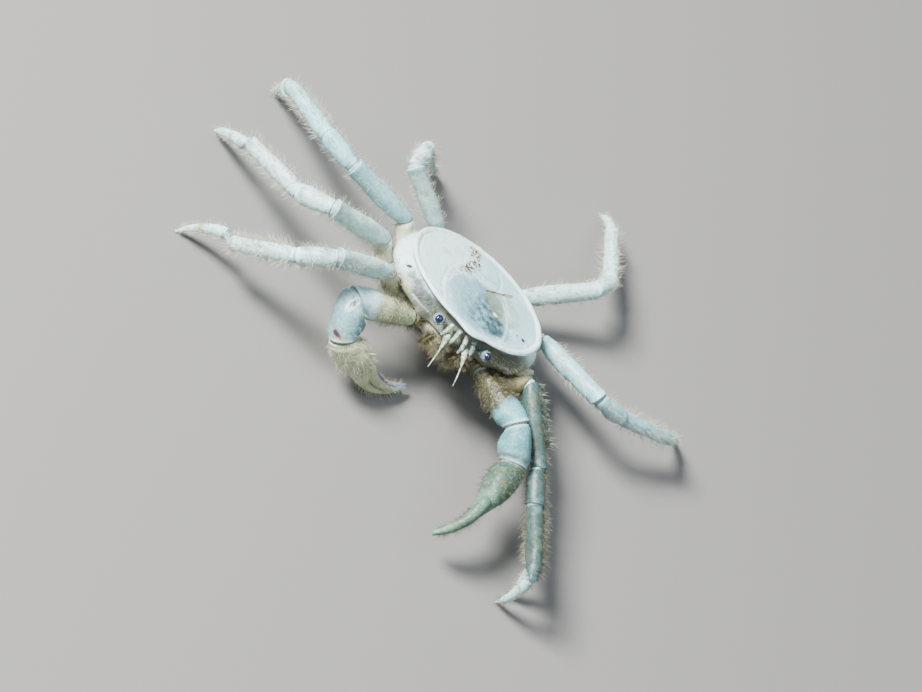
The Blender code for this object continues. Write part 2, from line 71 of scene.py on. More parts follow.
def read_body():
    """The matrix from the body's own axes, level and centred on the disc, to the shared frame."""
    turn = Euler((math.radians(-NOSE_UP), math.radians(LEAN_LEFT), 0)).to_matrix()
    level = turn.inverted()
    points = [level @ vert.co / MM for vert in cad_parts["carapace"].data.vertices]
    low = [min(point[axis] for point in points) for axis in range(3)]
    high = [max(point[axis] for point in points) for axis in range(3)]
    middle = Vector(((low[0] + high[0]) / 2, high[1] - DISC_HALF_LENGTH, low[2] - WALL_FOOT))
    return Matrix.Translation(turn @ middle) @ turn.to_4x4()


BODY = read_body()
FLOOR_POINT = Vector((BODY.translation.x, BODY.translation.y, 0))


class Wire:
    """A value in a material's nodes, which can be added, multiplied and compared as a number is."""

    def __init__(self, tree, socket=None):
        self.tree = tree
        self.socket = socket

    def node(self, kind, settings=None, sockets=None, output=0):
        """Adds a node of that kind, with its settings, and the values or links of its sockets."""
        made = self.tree.nodes.new("ShaderNode" + kind)
        for name, value in (settings or {}).items():
            setattr(made, name, value)
        for name, value in (sockets or {}).items():
            if isinstance(value, Wire):
                self.tree.links.new(value.socket, made.inputs[name])
            elif made.inputs[name].type == "RGBA":
                made.inputs[name].default_value = (*value, 1.0)
            else:
                made.inputs[name].default_value = value
        return Wire(self.tree, made.outputs[output])

    def maths(self, operation, *values):
        return self.node("Math", {"operation": operation}, dict(enumerate(values)))

    def __add__(self, other):
        return self.maths("ADD", self, other)

    def __sub__(self, other):
        return self.maths("SUBTRACT", self, other)

    def __rsub__(self, other):
        return self.maths("SUBTRACT", other, self)

    def __mul__(self, other):
        return self.maths("MULTIPLY", self, other)

    def __truediv__(self, other):
        return self.maths("DIVIDE", self, other)

    def __pow__(self, other):
        return self.maths("POWER", self, other)

    def __abs__(self):
        return self.maths("ABSOLUTE", self)

    __radd__ = __add__
    __rmul__ = __mul__

    def ramp(self, low, high):
        """0 below low, 1 above high and a smooth rise between them."""
        return self.node("MapRange", {"interpolation_type": "SMOOTHSTEP"}, {0: self, 1: low, 2: high})

    def mix(self, first, second):
        """The first colour where this is 0, the second where it is 1."""
        return self.node("Mix", {"data_type": "RGBA"}, {0: self, 6: first, 7: second}, 2)

    def parts(self):
        return [self.node("SeparateXYZ", None, {0: self}, k) for k in range(3)]

    def clamp(self, low, high):
        return self.maths("MINIMUM", self.maths("MAXIMUM", self, low), high)

    def noise(self, scale, detail=4.0):
        """Soft cloudy grain, about 0.5 on the average, with so many clouds to the millimetre."""
        sockets = {"Vector": self, "Scale": scale, "Detail": detail, "Roughness": NOISE_ROUGHNESS}
        return self.node("TexNoise", None, sockets)

    def grains(self, cloud, mottle, fine):
        """Grain of three sizes, from broad clouds to fine specks."""
        return self.noise(cloud), self.noise(mottle), self.noise(fine, 3.0)

    def cells(self, scale):
        return self.node("TexVoronoi", None, {"Vector": self, "Scale": scale})

    def attribute(self, name):
        return self.node("Attribute", {"attribute_name": name}, None, "Fac")


def start_finish(name):
    """A new material: its shader, and the place on the body along the body's own axes, in millimetres."""
    material = bpy.data.materials.new(name)
    material.use_nodes = True
    shader = material.node_tree.nodes["Principled BSDF"]
    body_axes = {
        "Vector": Wire(material.node_tree).node("TexCoord", None, None, "Object"),
        "Location": tuple(BODY.translation * MM),
        "Rotation": tuple(BODY.to_euler()),
        "Scale": (MM, MM, MM),
    }
    place = Wire(material.node_tree).node("Mapping", {"vector_type": "TEXTURE"}, body_axes)
    return material, shader, place


def set_finish(shader, colour, roughness, height=None, depth=0.02, **constants):
    """Colour and roughness from nodes, relief from a height in millimetres, the rest as plain numbers."""
    sockets = {"Base Color": colour, "Roughness": roughness}
    if height is not None:
        bump = {"Height": height, "Distance": depth * MM, "Strength": 1.0}
        sockets["Normal"] = height.node("Bump", None, bump)
    for name, value in sockets.items():
        if isinstance(value, Wire):
            value.tree.links.new(value.socket, shader.inputs[name])
        else:
            shader.inputs[name].default_value = value
    for name, value in constants.items():
        shader.inputs[name.replace("_", " ")].default_value = value


def paint(colour, *coats):
    """Lays coats of colour over one another, each as thick as its mask says."""
    for mask, over in coats:
        colour = mask.mix(colour, over)
    return colour


def tint(colour, share):
    return tuple(share * channel for channel in colour)


def add_floor():
    bm = bmesh.new()
    bmesh.ops.create_grid(bm, x_segments=1, y_segments=1, size=FLOOR_HALF_WIDTH * MM)
    mesh = bpy.data.meshes.new("floor")
    bm.to_mesh(mesh)
    bm.free()
    material, shader, place = start_finish("floor")
    colour = place.noise(0.02, 2.0).mix(tint(FLOOR_COLOUR, 0.97), FLOOR_COLOUR)
    set_finish(shader, colour, FLOOR_ROUGHNESS)
    mesh.materials.append(material)
    floor = bpy.data.objects.new("floor", mesh)
    bpy.context.collection.objects.link(floor)


def add_camera():
    """Adds the camera. Returns the picture's own axes: right, up and back towards the photographer."""
    azimuth, rise, roll = (math.radians(a) for a in (CAMERA_AZIMUTH, CAMERA_RISE, CAMERA_ROLL))
    back = Vector((math.sin(azimuth) * math.cos(rise), -math.cos(azimuth) * math.cos(rise), math.sin(rise)))
    level_right = (-back).cross(Vector((0, 0, 1))).normalized()
    level_up = level_right.cross(-back)
    right = level_right * math.cos(roll) + level_up * math.sin(roll)
    up = level_up * math.cos(roll) - level_right * math.sin(roll)
    data = bpy.data.cameras.new("camera")
    data.lens = CAMERA_LENS
    data.shift_x = AIM_LEFT_OF_MIDDLE / PICTURE_WIDTH
    data.shift_y = -AIM_ABOVE_MIDDLE / PICTURE_WIDTH
    data.clip_start = 0.01
    camera = bpy.data.objects.new("camera", data)
    turn = Matrix((right, up, back)).transposed()
    camera.matrix_world = Matrix.Translation((FLOOR_POINT + back * CAMERA_DISTANCE) * MM) @ turn.to_4x4()
    bpy.context.collection.objects.link(camera)
    bpy.context.scene.camera = camera
    return right, up, back


def add_lamps(axes):
    for name, offset, width, power, colour in LAMPS:
        data = bpy.data.lights.new(name, "AREA")
        data.size = width * MM
        data.energy = power
        data.color = colour
        away = sum((axis * share for axis, share in zip(axes, offset)), Vector())
        lamp = bpy.data.objects.new(name, data)
        lamp.location = (FLOOR_POINT + away) * MM
        lamp.rotation_mode = "QUATERNION"
        lamp.rotation_quaternion = away.to_track_quat("Z", "Y")
        bpy.context.collection.objects.link(lamp)
    world = bpy.data.worlds.new("studio")
    world.use_nodes = True
    world.node_tree.nodes["Background"].inputs["Color"].default_value = ROOM_COLOUR
    world.node_tree.nodes["Background"].inputs["Strength"].default_value = ROOM_LIGHT
    bpy.context.scene.world = world


add_floor()
PICTURE_RIGHT, PICTURE_UP, PICTURE_BACK = picture = add_camera()
add_lamps(picture)


# The carapace: a thin flat disc of pale shell with a raised rim, on walls that flare out below it. It is
# cast as one piece. Shallow grooves part its plates, and the gut shows grey-blue through the middle one.
ROSTRUM_REACH = 0.3
ROSTRUM_HALF_ANGLE = 16
RIM_HEIGHT = 0.11
GROOVE_DEPTH = 0.04
GROOVE_WIDTH = 0.08
DISC_SIDES = 240
FLARE_SIDE = 1.09
FLARE_FRONT = 0.80
FLARE_BACK = 0.95
NECK_SHARE = 0.93
TOP_RINGS = 61
RIM_TURN = ((1.0, 0.01), (1.0, -0.04), (0.992, -0.09), (0.975, -0.13), (0.955, -0.155))
WALL_PROFILE = (
    (0.0, -0.20), (0.06, -0.27), (0.22, -0.38), (0.45, -0.50), (0.66, -0.62), (0.83, -0.75), (0.94, -0.88),
    (1.0, -1.02), (0.98, -1.16), (0.88, -1.30), (0.66, -1.42), (0.34, -1.52), (0.0, -1.62), (-0.5, -1.72),
    (-1.2, -1.80),
)
SHELL_WHITE = (0.66, 0.90, 0.93)
SHELL_CREAM = (0.58, 0.56, 0.34)
SHELL_CLEAR = (0.34, 0.58, 0.68)
GUT_PALE = (0.045, 0.17, 0.22)
GUT_DARK = (0.02, 0.05, 0.052)
GUT_GREEN = (0.24, 0.27, 0.12)
SPECK_GOLD = (0.26, 0.15, 0.02)
SPECK_BROWN = (0.035, 0.018, 0.008)
GROOVE_BROWN = (0.07, 0.022, 0.018)
PANEL_TAN = (0.24, 0.23, 0.13)
# Painted light among these: the olive is the disc's shadow on the left front wall, the dark is partly shade
# in the wall's front hollows, the violet is a highlight along a wall ridge, and UNDER_RIM is the shade under
# the rim, also drawn as one dark line on the disc.
PANEL_SHADOW_OLIVE = (0.12, 0.115, 0.055)
WALL_DARK = (0.05, 0.085, 0.11)
RIDGE_HIGHLIGHT_VIOLET = (0.80, 0.80, 0.95)
UNDER_RIM = (0.10, 0.17, 0.25)
DOT_BLUE = (0.01, 0.02, 0.07)
SHELL_DOTS = (((3.28, -1.25), 0.13), ((2.84, -1.29), 0.06))
PATCH_EDGE = (-1.552, 0.634, 0.018, -0.0406)


def soft_step(low, high, value):
    share = min(1.0, max(0.0, (value - low) / (high - low)))
    return share * share * (3 - 2 * share)


def grain(point, scale, seed=0.0):
    """Smooth noise about 0, near 1 at most, for the mesh itself."""
    return noise.noise(Vector(point) * scale + Vector((seed, seed * 1.7, -seed)))


def outline_radius(azimuth):
    """From the disc's middle to its rim, with the low rostrum in front and a slightly uneven edge."""
    angle = math.radians(azimuth)
    radius = 1.0 / math.hypot(math.cos(angle) / DISC_HALF_WIDTH, math.sin(angle) / DISC_HALF_LENGTH)
    off_front = abs((azimuth + 90 + 180) % 360 - 180)
    if off_front < ROSTRUM_HALF_ANGLE:
        radius += ROSTRUM_REACH * 0.5 * (1 + math.cos(math.pi * off_front / ROSTRUM_HALF_ANGLE))
    return radius - 0.03 + 0.03 * grain((math.cos(angle), math.sin(angle), 0), 5.0, 3.0)


def wall_flare(azimuth):
    lateral = abs(math.cos(math.radians(azimuth)))
    blend = soft_step(0.45, 0.85, lateral)
    end = FLARE_FRONT if math.sin(math.radians(azimuth)) < 0 else FLARE_BACK
    lobes = 0.012 * math.cos(math.radians(azimuth * 8 + 20)) * blend
    return end + (FLARE_SIDE - end) * blend + lobes


def valley(distance, width):
    return math.exp(-(distance / width) ** 2)


def patch_edge(y):
    """How far left the opaque patch reaches over the disc's right side."""
    c0, c1, c2, c3 = PATCH_EDGE
    return y * c1 + y ** 2 * c2 + y ** 3 * c3 + c0


def relief(x, y):
    """Height of the disc's upper face: domed plates parted by shallow grooves."""
    across = abs(x)
    off_gastric = across - 2.3 + 0.12 * (y + 1.5) ** 2
    off_cardiac = across - 1.3 + 0.25 * (y - 1.9) ** 2
    gastric_span = soft_step(-3.4, -2.9, y) * soft_step(1.2, 0.7, y)
    grooves = (
        valley(off_gastric, GROOVE_WIDTH) * gastric_span,
        valley(y - 0.75 - 0.35 * across, GROOVE_WIDTH) * soft_step(2.5, 2.1, across),
        valley(off_cardiac, GROOVE_WIDTH) * soft_step(0.8, 1.2, y) * soft_step(3.1, 2.8, y),
    )
    shown = soft_step(0.9, -0.3, patch_edge(y) - x) * 0.75 + 0.25
    ridge = 0.016 * valley(off_gastric + 0.14, 0.09) * gastric_span
    share = math.hypot(x / DISC_HALF_WIDTH, y / DISC_HALF_LENGTH)
    dome = 0.08 * max(0.0, 1.0 - (share / 0.88) ** 2)
    uneven = 0.022 * grain((x, y, 0), 0.9) + 0.008 * grain((x, y, 3), 3.1)
    gutter = 0.02 * valley(share - 0.91, 0.012)
    plates = ridge - GROOVE_DEPTH * max(grooves) * soft_step(0.9, 0.8, share)
    return dome + uneven + shown * plates - gutter


def rim_lift(share):
    """The rim's cross-section, 0 on the flat and 1 on its rounded crest."""
    return soft_step(0.915, 0.96, share) * (1 - 0.9 * soft_step(0.975, 1.0, share) ** 1.5)


def disc_ring(share, height_of):
    ring = []
    for k in range(DISC_SIDES):
        angle = 2 * math.pi * k / DISC_SIDES
        radius = outline_radius(math.degrees(angle)) * share
        x, y = radius * math.cos(angle), radius * math.sin(angle)
        ring.append(Vector((x, y, height_of(x, y))))
    return ring


def top_ring(share):
    """A ring of the disc's upper face and of its rim, which is lower towards the back and on one side."""
    def height_of(x, y):
        knobs = 0.9 + 0.22 * grain((x, y, 0), 3.6, 5.0) - 0.35 * soft_step(0.0, 3.0, y)
        knobs -= 0.3 * soft_step(-1.5, -3.5, x) * soft_step(-3.0, 0.0, y)
        return relief(x, y) + rim_lift(share) * RIM_HEIGHT * knobs
    return disc_ring(share, height_of)


def wall_point(azimuth, stand_out, level):
    """A point of the wall and the way it faces. It stands out from the neck at 0 to the full flare at 1."""
    flare = wall_flare(azimuth)
    neck = min(NECK_SHARE, flare - 0.01)
    radius = outline_radius(azimuth) * (neck + (flare - neck) * stand_out)
    outward = Vector((math.cos(math.radians(azimuth)), math.sin(math.radians(azimuth)), 0))
    return outward * radius + Vector((0, 0, level)), outward


def wall_ring(stand_out, level):
    ring = []
    for k in range(DISC_SIDES):
        spot, outward = wall_point(360 * k / DISC_SIDES, stand_out, level)
        ring.append(spot + outward * (0.04 * grain(spot, 1.1, 9.0) + 0.012 * grain(spot, 4.0, 2.0)))
    return ring


def ring_edges(ring):
    return list({edge for vert in ring for edge in vert.link_edges if edge.other_vert(vert) in ring})


def loft(bm, rings):
    """Extrudes a ring from station to station, each point to its own next place, and caps both ends."""
    made = bmesh.ops.create_circle(bm, segments=len(rings[0]), radius=1.0, cap_ends=True)
    ring = {vert: index for index, vert in enumerate(made["verts"])}
    for vert, index in ring.items():
        vert.co = rings[0][index]
    for points in rings[1:]:
        made = bmesh.ops.extrude_edge_only(bm, edges=ring_edges(ring))
        outer = {}
        for vert in made["geom"]:
            if isinstance(vert, bmesh.types.BMVert):
                roots = [edge.other_vert(vert) for edge in vert.link_edges]
                index = next(ring[root] for root in roots if root in ring)
                outer[vert] = index
                vert.co = points[index]
        ring = outer
    bmesh.ops.contextual_create(bm, geom=ring_edges(ring))


def finish_piece(name, bm, material, slot, nodes=()):
    """Makes a closed mesh, drawn in millimetres, a riding piece that stands for the nodes it names."""
    bmesh.ops.recalc_face_normals(bm, faces=bm.faces)
    bmesh.ops.scale(bm, vec=(MM, MM, MM), verts=bm.verts)
    mesh = bpy.data.meshes.new(name)
    bm.to_mesh(mesh)
    bm.free()
    mesh.materials.append(material)
    mesh.shade_smooth()
    ride_piece(name, mesh, slot, nodes)


def ride_piece(name, mesh, slot, nodes=()):
    piece = bpy.data.objects.new(name, mesh)
    bpy.context.collection.objects.link(piece)
    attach(piece, "root")
    if nodes:
        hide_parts(*nodes)


def cast(name, rings, material, slot, nodes=(), matrix=None):
    """Makes a piece of one loft through its rings."""
    bm = bmesh.new()
    loft(bm, rings)
    if matrix:
        bmesh.ops.transform(bm, matrix=matrix, verts=bm.verts)
    finish_piece(name, bm, material, slot, nodes)


def patch(x, y, middle, half_size, ragged=None):
    """1 inside a soft oval on the disc, 0 outside. A cloud can make its edge ragged."""
    far = ((x - middle[0]) / half_size[0]) ** 2 + ((y - middle[1]) / half_size[1]) ** 2
    if ragged is not None:
        far = far + (ragged - 0.5) * 1.6
    return 1 - far.ramp(0.6, 1.3)


def stroke(x, y, start, end, half_width):
    """1 on a line from start to end, 0 off it."""
    length = math.dist(start, end)
    run = [(b - a) / length for a, b in zip(start, end)]
    off_x, off_y = x - start[0], y - start[1]
    far = (off_x * run[0] + off_y * run[1]).clamp(0.0, length)
    off_line = (off_x - far * run[0]) ** 2 + (off_y - far * run[1]) ** 2
    return 1 - (off_line / half_width ** 2).ramp(0.3, 1.3)


def paint_disc(x, y, colour, cloud, mottle, fine):
    """The disc's upper face: an opaque cream patch over its right side, the gut seen through the rest."""
    past_edge = x - patch_edge(y) + (mottle - 0.5) * 0.8
    clear = past_edge.ramp(-0.15, 0.25)
    deeper = x.ramp(-2.4, 1.4)
    gut = patch(x, y, (0.25, -1.35), (2.15, 2.1), cloud) * clear
    core = patch(x, y, (0.5, -1.6), (1.6, 1.5), cloud) * clear * deeper
    off_plate = abs(abs(x) + (y + 1.5) ** 2 * 0.12 - 2.16)
    plate_ridge_highlight = (1 - off_plate.ramp(0.03, 0.2)) * y.ramp(-3.3, -2.9) * (1 - y.ramp(0.2, 0.9)) * clear
    border = 1 - abs(past_edge - 0.12).ramp(0.03, 0.12)
    near_edge = 1 - abs(past_edge).ramp(0.18, 0.55)
    wavy = y + (mottle - 0.5) * 0.35
    colour = paint(
        colour,
        ((1 - clear) * mottle.ramp(0.52, 0.66) * 0.4, SHELL_CREAM),
        ((1 - clear) * (1 - cloud.ramp(0.36, 0.48)) * 0.35, SHELL_CLEAR),
        (patch(x, y, (-2.38, 1.16), (0.36, 0.30), fine) * 0.5, SHELL_CREAM),
        (clear * 0.75, SHELL_CLEAR),
        (clear * cloud.ramp(0.5, 0.62) * 0.5, SHELL_WHITE),
        (gut * (0.35 + 0.5 * deeper) * (0.5 + 0.8 * mottle), GUT_PALE),
        (core * (mottle + (fine - 0.5) * 0.4).ramp(0.34, 0.72) * 0.95, GUT_DARK),
        (core * (1 - mottle.ramp(0.34, 0.48)) * 0.4, SHELL_CLEAR),
        (patch(x, y, (1.7, -0.1), (1.2, 1.3), cloud) * clear * mottle * 0.9, GUT_GREEN),
        (patch(x, y, (1.6, -2.0), (0.85, 0.75), fine) * (0.25 + 0.6 * mottle), GUT_DARK),
        # Painted highlight: a white glint on the cardiac bump.
        (patch(x, y, (1.23, -1.05), (0.17, 0.15), fine) * 0.9, SHELL_WHITE),
        # Painted highlight: a pale line along the gastric plate's raised edge.
        (plate_ridge_highlight * 0.6, SHELL_WHITE),
        (border * (1 - y.ramp(0.2, 0.9)) * 0.9, SHELL_WHITE),
        (near_edge * y.ramp(-1.0, 1.2) * fine.ramp(0.44, 0.52) * 0.8, SPECK_GOLD),
        (near_edge * y.ramp(-0.2, 1.3) * fine.ramp(0.52, 0.57), SPECK_BROWN),
        (stroke(x, wavy, (0.45, 0.32), (2.15, 1.72), 0.11) * 0.8, GUT_GREEN),
        (stroke(x, wavy, (0.45, 0.42), (1.6, 1.38), 0.055) * 0.95, GROOVE_BROWN),
        (stroke(x, wavy, (1.5, 1.30), (2.15, 1.84), 0.03) * 0.8, GROOVE_BROWN),
        (stroke(x, y, (0.20, 1.45), (1.0, 1.70), 0.045) * 0.7, UNDER_RIM),
    )
    for middle, radius in SHELL_DOTS:
        colour = patch(x, y, middle, (radius, radius)).mix(colour, DOT_BLUE)
    return colour


def paint_wall(x, y, z, colour, cloud, mottle):
    """The wall below the rim: see-through tan panels in front, each with a dark hollow, partly painted
    shade, and a pale painted highlight along a ridge. Painted shadow lies on the left front and under the
    rim.
    """
    side = abs(x)
    front = 1 - y.ramp(-2.4, -1.2)
    below = 1 - z.ramp(-1.45, -0.6)
    off_shaded_hollow = ((side - 3.05) / 0.8) ** 2 + ((z + 0.6) / 0.45) ** 2 + (mottle - 0.5) * 4.0
    shaded = x.ramp(0.4, 2.0) * (1 - (y + z * 0.8).ramp(-2.6, -1.4)) * (1 - z.ramp(-0.45, -0.2))
    neck = z.ramp(-0.38, -0.26) * (1 - z.ramp(-0.12, -0.07))
    return paint(
        colour,
        (mottle.ramp(0.52, 0.7) * 0.4, SHELL_CREAM),
        (below * cloud.ramp(0.35, 0.65) * 0.6, PANEL_TAN),
        (front * (1 - z.ramp(-0.5, -0.3)) * (0.45 + 0.5 * mottle), PANEL_TAN),
        # Partly painted shade: the dark hollow in each front panel under the rim, with dark see-through
        # spots.
        ((1 - off_shaded_hollow.ramp(0.2, 1.6)) * front * 0.85, WALL_DARK),
        # Painted highlight: a pale line where a ridge of the panel catches the light.
        (stroke(side, z, (3.3, -1.0), (1.9, -1.25), 0.07) * front * 0.8, RIDGE_HIGHLIGHT_VIOLET),
        (patch(y, z, (-1.6, -0.55), (0.1, 0.1)) * (1 - x.ramp(-2.0, -1.0)), DOT_BLUE),
        # Painted shadow: olive over the left front wall, where the disc shades it.
        (shaded * (0.35 + 0.7 * mottle), PANEL_SHADOW_OLIVE),
        # Painted shade: a dark blue-grey band on the neck just under the rim.
        (neck * 0.75, UNDER_RIM),
    )


def shell_finish():
    material, shader, place = start_finish("shell")
    x, y, z = place.parts()
    cloud, mottle, fine = place.grains(0.7, 2.4, 6.0)
    colour = mottle.ramp(0.35, 0.7).mix(tint(SHELL_WHITE, 0.9), SHELL_WHITE)
    share = ((x / DISC_HALF_WIDTH) ** 2 + (y / DISC_HALF_LENGTH) ** 2) ** 0.5
    inside = 1 - share.ramp(0.88, 0.93)
    disc = paint_disc(x, y, colour, cloud, mottle, fine)
    wall = paint_wall(x, y, z, colour, cloud, mottle)
    colour = (mottle.ramp(0.5, 0.64) * y.ramp(-1.0, 2.0) * 0.4).mix(colour, SHELL_CREAM)
    on_top = z.ramp(-0.12, -0.06)
    colour = on_top.mix(wall, inside.mix(colour, disc))
    height = fine * 0.7 + mottle * 0.6 + place.cells(7.0) * 0.3
    set_finish(shader, colour, 0.28 + 0.2 * mottle, height, 0.035,
               Subsurface_Weight=0.08, Subsurface_Scale=0.0001, IOR=1.45)
    return material


def make_carapace():
    shares = [0.04 + 0.82 * k / (TOP_RINGS - 1) for k in range(TOP_RINGS)]
    shares += [0.87 + 0.01 * k for k in range(12)] + [0.989, 0.996]
    rings = [top_ring(share) for share in shares]
    for share, drop in RIM_TURN:
        rings.append(disc_ring(share, lambda x, y, drop=drop: drop))
    rings += [wall_ring(stand_out, level) for stand_out, level in WALL_PROFILE]
    cast("carapace_shell", rings, SHELL, "shell", ["carapace"], BODY)


SHELL = shell_finish()
make_carapace()


# The walking legs: each is a chain of thin shell tubes, merus, carpus, propodus and dactyl, cast singly. A
# tube ends in a slightly flared cuff that holds the next one, with a soft membrane between them.
LEG_PARTS = ("merus", "carpus", "propodus")
LEG_SIDES = 24
LEG_ENDS = (0.9, 1.03, 0.93)
LEG_RINGS = 18
TIP_SHOULDER = ((0.0, 0.7), (0.0, 0.86), (0.03, 0.94), (0.07, 1.0))
SLEEVE_SIDES = 16
SLEEVE_OUT = ((1.0, 0.8, -0.3), (1.0, 0.9, -0.05))
SLEEVE_IN = ((0.0, 0.8, 0.04), (0.0, 0.7, 0.25))
TIP_SLEEVE_IN = ((0.02, 0.8), (0.12, 0.7))
HIP_LEVEL = -2.28
SHOWN_GAP = 0.05
HALF_GAP = 0.15
OUTER_BEND = 0.6
LEG_WHITE = (0.54, 0.82, 0.82)
# The green leg paint and LEG_SHADOW below are painted shade: a darker grey-green copy of the pale leg paint
# for the legs that lie in shade.
LEG_SHADE_GREEN = (0.045, 0.10, 0.095)
LEG_OLIVE = (0.30, 0.29, 0.15)
LEG_BLUE = (0.34, 0.66, 0.74)
LEG_SHADOW = (0.12, 0.13, 0.07)
JOINT_BLUE = (0.10, 0.22, 0.28)
LEG_EDGE = (0.78, 0.92, 0.95)
MEMBRANE = (0.25, 0.34, 0.35)
MITRE_LIMIT = 0.75
UNEVEN = 0.09
KEEL = 0.07
CUFF_LOBE = 0.10
INSIDE = -0.1
JOINT_BULGE = 1.1
LIMB_GLOW = {"Subsurface_Weight": 0.08, "Subsurface_Scale": 0.00015}


def node_points(name):
    """A node's corners, each once."""
    corners = {tuple(round(c / MM, 4) for c in vert.co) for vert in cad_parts[name].data.vertices}
    return [Vector(corner) for corner in sorted(corners)]


def rings_of(name, near, sides=12, axis=None):
    """The rings of points that a node was drawn through, sorted from the end nearest to a given point."""
    points = node_points(name)
    if axis is None:
        cloud = np.array(points)
        middle = cloud.mean(0)
        axis = Vector(np.linalg.svd(cloud - middle)[2][0])
        if axis.dot(Vector(middle) - near) < 0:
            axis = -axis
    points.sort(key=lambda point: point.dot(axis))
    return [points[k:k + sides] for k in range(0, len(points), sides)]


def centre_of(ring):
    return sum(ring, Vector()) / len(ring)


def plane_of(ring, towards):
    """The unit normal of a flat ring, turned to point the given way."""
    centre = centre_of(ring)
    normal = Vector(np.linalg.svd(np.array([point - centre for point in ring]))[2][2])
    return normal if normal.dot(towards) > 0 else -normal


def cross_axes(along):
    """The directions across a limb and through its depth, the depth as near upright as it can be."""
    up = Vector((0, 0, 1)) if abs(along.z) < 0.9 else Vector((1, 0, 0))
    deep = (up - up.dot(along) * along).normalized()
    return deep.cross(along), deep


def profile(table, place, *columns):
    """The values of a table's columns at a place; its first column says where each row lies."""
    places = [row[0] for row in table]
    return [float(np.interp(place, places, [row[k] for row in table])) for k in columns]


def past_joint(point, axis, normal, gap=SHOWN_GAP):
    """A point on a joint's plane, moved along an axis until it is a gap away from that plane."""
    return point + axis * (gap / axis.dot(normal))


class Tube:
    """One straight tube of a limb: its ends, the planes of its joints, and its girth along its length."""

    def __init__(self, name, start, end, normals, girth, bend=OUTER_BEND):
        self.name = name
        self.bend = bend
        self.along = (end - start).normalized()
        self.across, self.deep = cross_axes(self.along)
        self.start = start
        self.end = end
        self.normals = normals
        self.length = (end - start).length
        self.girth = girth

    def axes(self, _place):
        return self.along, self.across, self.deep

    def point(self, place, angle, swell=1.0, shift=0.0):
        """A point of the surface: how far along from 0 to 1, the angle round it, and how much it swells."""
        wide, thick = profile(self.girth, place, 1, 2)
        offset = (self.across * (math.cos(angle) * wide) + self.deep * (math.sin(angle) * thick)) * swell
        slide = 0.0
        for normal, far in zip(self.normals, (place * self.length, (1 - place) * self.length)):
            push = -offset.dot(normal) / self.along.dot(normal) * soft_step(1.1, 0.0, far)
            outer = push < 0 if normal is self.normals[0] else push > 0
            most = MITRE_LIMIT * max(wide, thick, 0.1) * self.bend / OUTER_BEND
            slide += most * math.tanh(push * (self.bend if outer else 1.0) / most)
        return self.start + self.along * (place * self.length + slide + shift) + offset

    def ring(self, place, swell=1.0, shift=0.0, sides=LEG_SIDES, uneven=0.0, lobe=0.0):
        ring = []
        for k in range(sides):
            angle = 2 * math.pi * k / sides
            bump = 1.0
            if uneven:
                bump += uneven * grain(self.point(place, angle), 1.3) + KEEL * abs(math.cos(angle)) ** 4
            ring.append(self.point(place, angle, swell * bump, shift + lobe * math.sin(angle)))
        return ring


def read_tube(name, near, axis=None, bend=OUTER_BEND):
    """A tube as its node gives it, lengthened so that only a hair's breadth shows in the joint."""
    rings = rings_of(name, near, axis=axis)
    first, last = centre_of(rings[0]), centre_of(rings[-1])
    along = (last - first).normalized()
    normals = (plane_of(rings[0], along), plane_of(rings[-1], along))
    start = past_joint(first, along, normals[0], SHOWN_GAP - HALF_GAP)
    end = past_joint(last, along, normals[1], HALF_GAP - SHOWN_GAP)
    across, deep = cross_axes(along)
    girth = []
    for ring in rings:
        centre = centre_of(ring)
        place = (centre - start).dot(along) / (end - start).length
        wide = max(abs((point - centre).dot(across)) for point in ring)
        thick = max(abs((point - centre).dot(deep)) for point in ring)
        girth.append((place, wide, thick))
    return Tube(name, start, end, normals, girth, bend)


def tube_stations(ends, count):
    """A shell tube's rings: how far along each is, its swell, its shift and whether it is inside a joint.
    A rounded shoulder comes first, then the shaft, then a flared cuff with its lip."""
    shoulder, cuff, lip = ends
    stations = [(0.0, 0.62, 0.10, True), (0.0, 0.74, 0.01, True), (0.0, shoulder, 0.02, False),
                (0.03, shoulder + 0.07, 0, False), (0.065, 0.97, 0, False)]
    stations += [(0.1 + 0.76 * k / (count - 1), 1.0, 0, False) for k in range(count)]
    stations += [(0.90, 1.01, 0, False), (0.94, cuff - 0.02, 0, False), (0.975, cuff, 0, False),
                 (0.995, cuff - 0.01, 0, False), (1.0, cuff - 0.05, 0, False), (1.0, lip, -0.01, True),
                 (1.0, lip - 0.07, -0.08, True), (1.0, lip - 0.13, -0.18, True)]
    return stations


def tube_rings(tube, stations, sides, uneven):
    rings = []
    for place, swell, shift, _ in stations:
        lobe = CUFF_LOBE * soft_step(0.9, 1.0, place)
        rings.append(tube.ring(place, swell, shift, sides, uneven if 0.09 < place < 0.87 else 0.0, lobe))
    return rings


def mark_tube(bm, tube, stations):
    """Writes how far along its tube each point lies, from 0 to 1, and its distance to the nearest end."""
    along = bm.verts.layers.float.new("along")
    edge = bm.verts.layers.float.new("edge")
    sides = len(bm.verts) // len(stations)
    for index, vert in enumerate(bm.verts):
        place, _, _, inside = stations[index // sides]
        vert[along] = place
        vert[edge] = INSIDE if inside else min(place, 1 - place) * tube.length


def make_tube(tube, material, slot, ends, sides, mark=None):
    bm = bmesh.new()
    stations = tube_stations(ends, LEG_RINGS)
    loft(bm, tube_rings(tube, stations, sides, UNEVEN))
    mark_tube(bm, tube, stations)
    if mark:
        mark(bm)
    finish_piece(tube.name + "_shell", bm, material, slot, [tube.name])


def match_ring(first, second):
    """For each point of one ring, the index of the other's point that lies the same way from its centre."""
    centre, other = centre_of(first), centre_of(second)
    count = len(first)
    orders = [[(turn + way * k) % count for k in range(count)] for turn in range(count) for way in (1, -1)]

    def fit(order):
        return sum((first[k] - centre).dot(second[order[k]] - other) for k in range(count))
    return max(orders, key=fit)


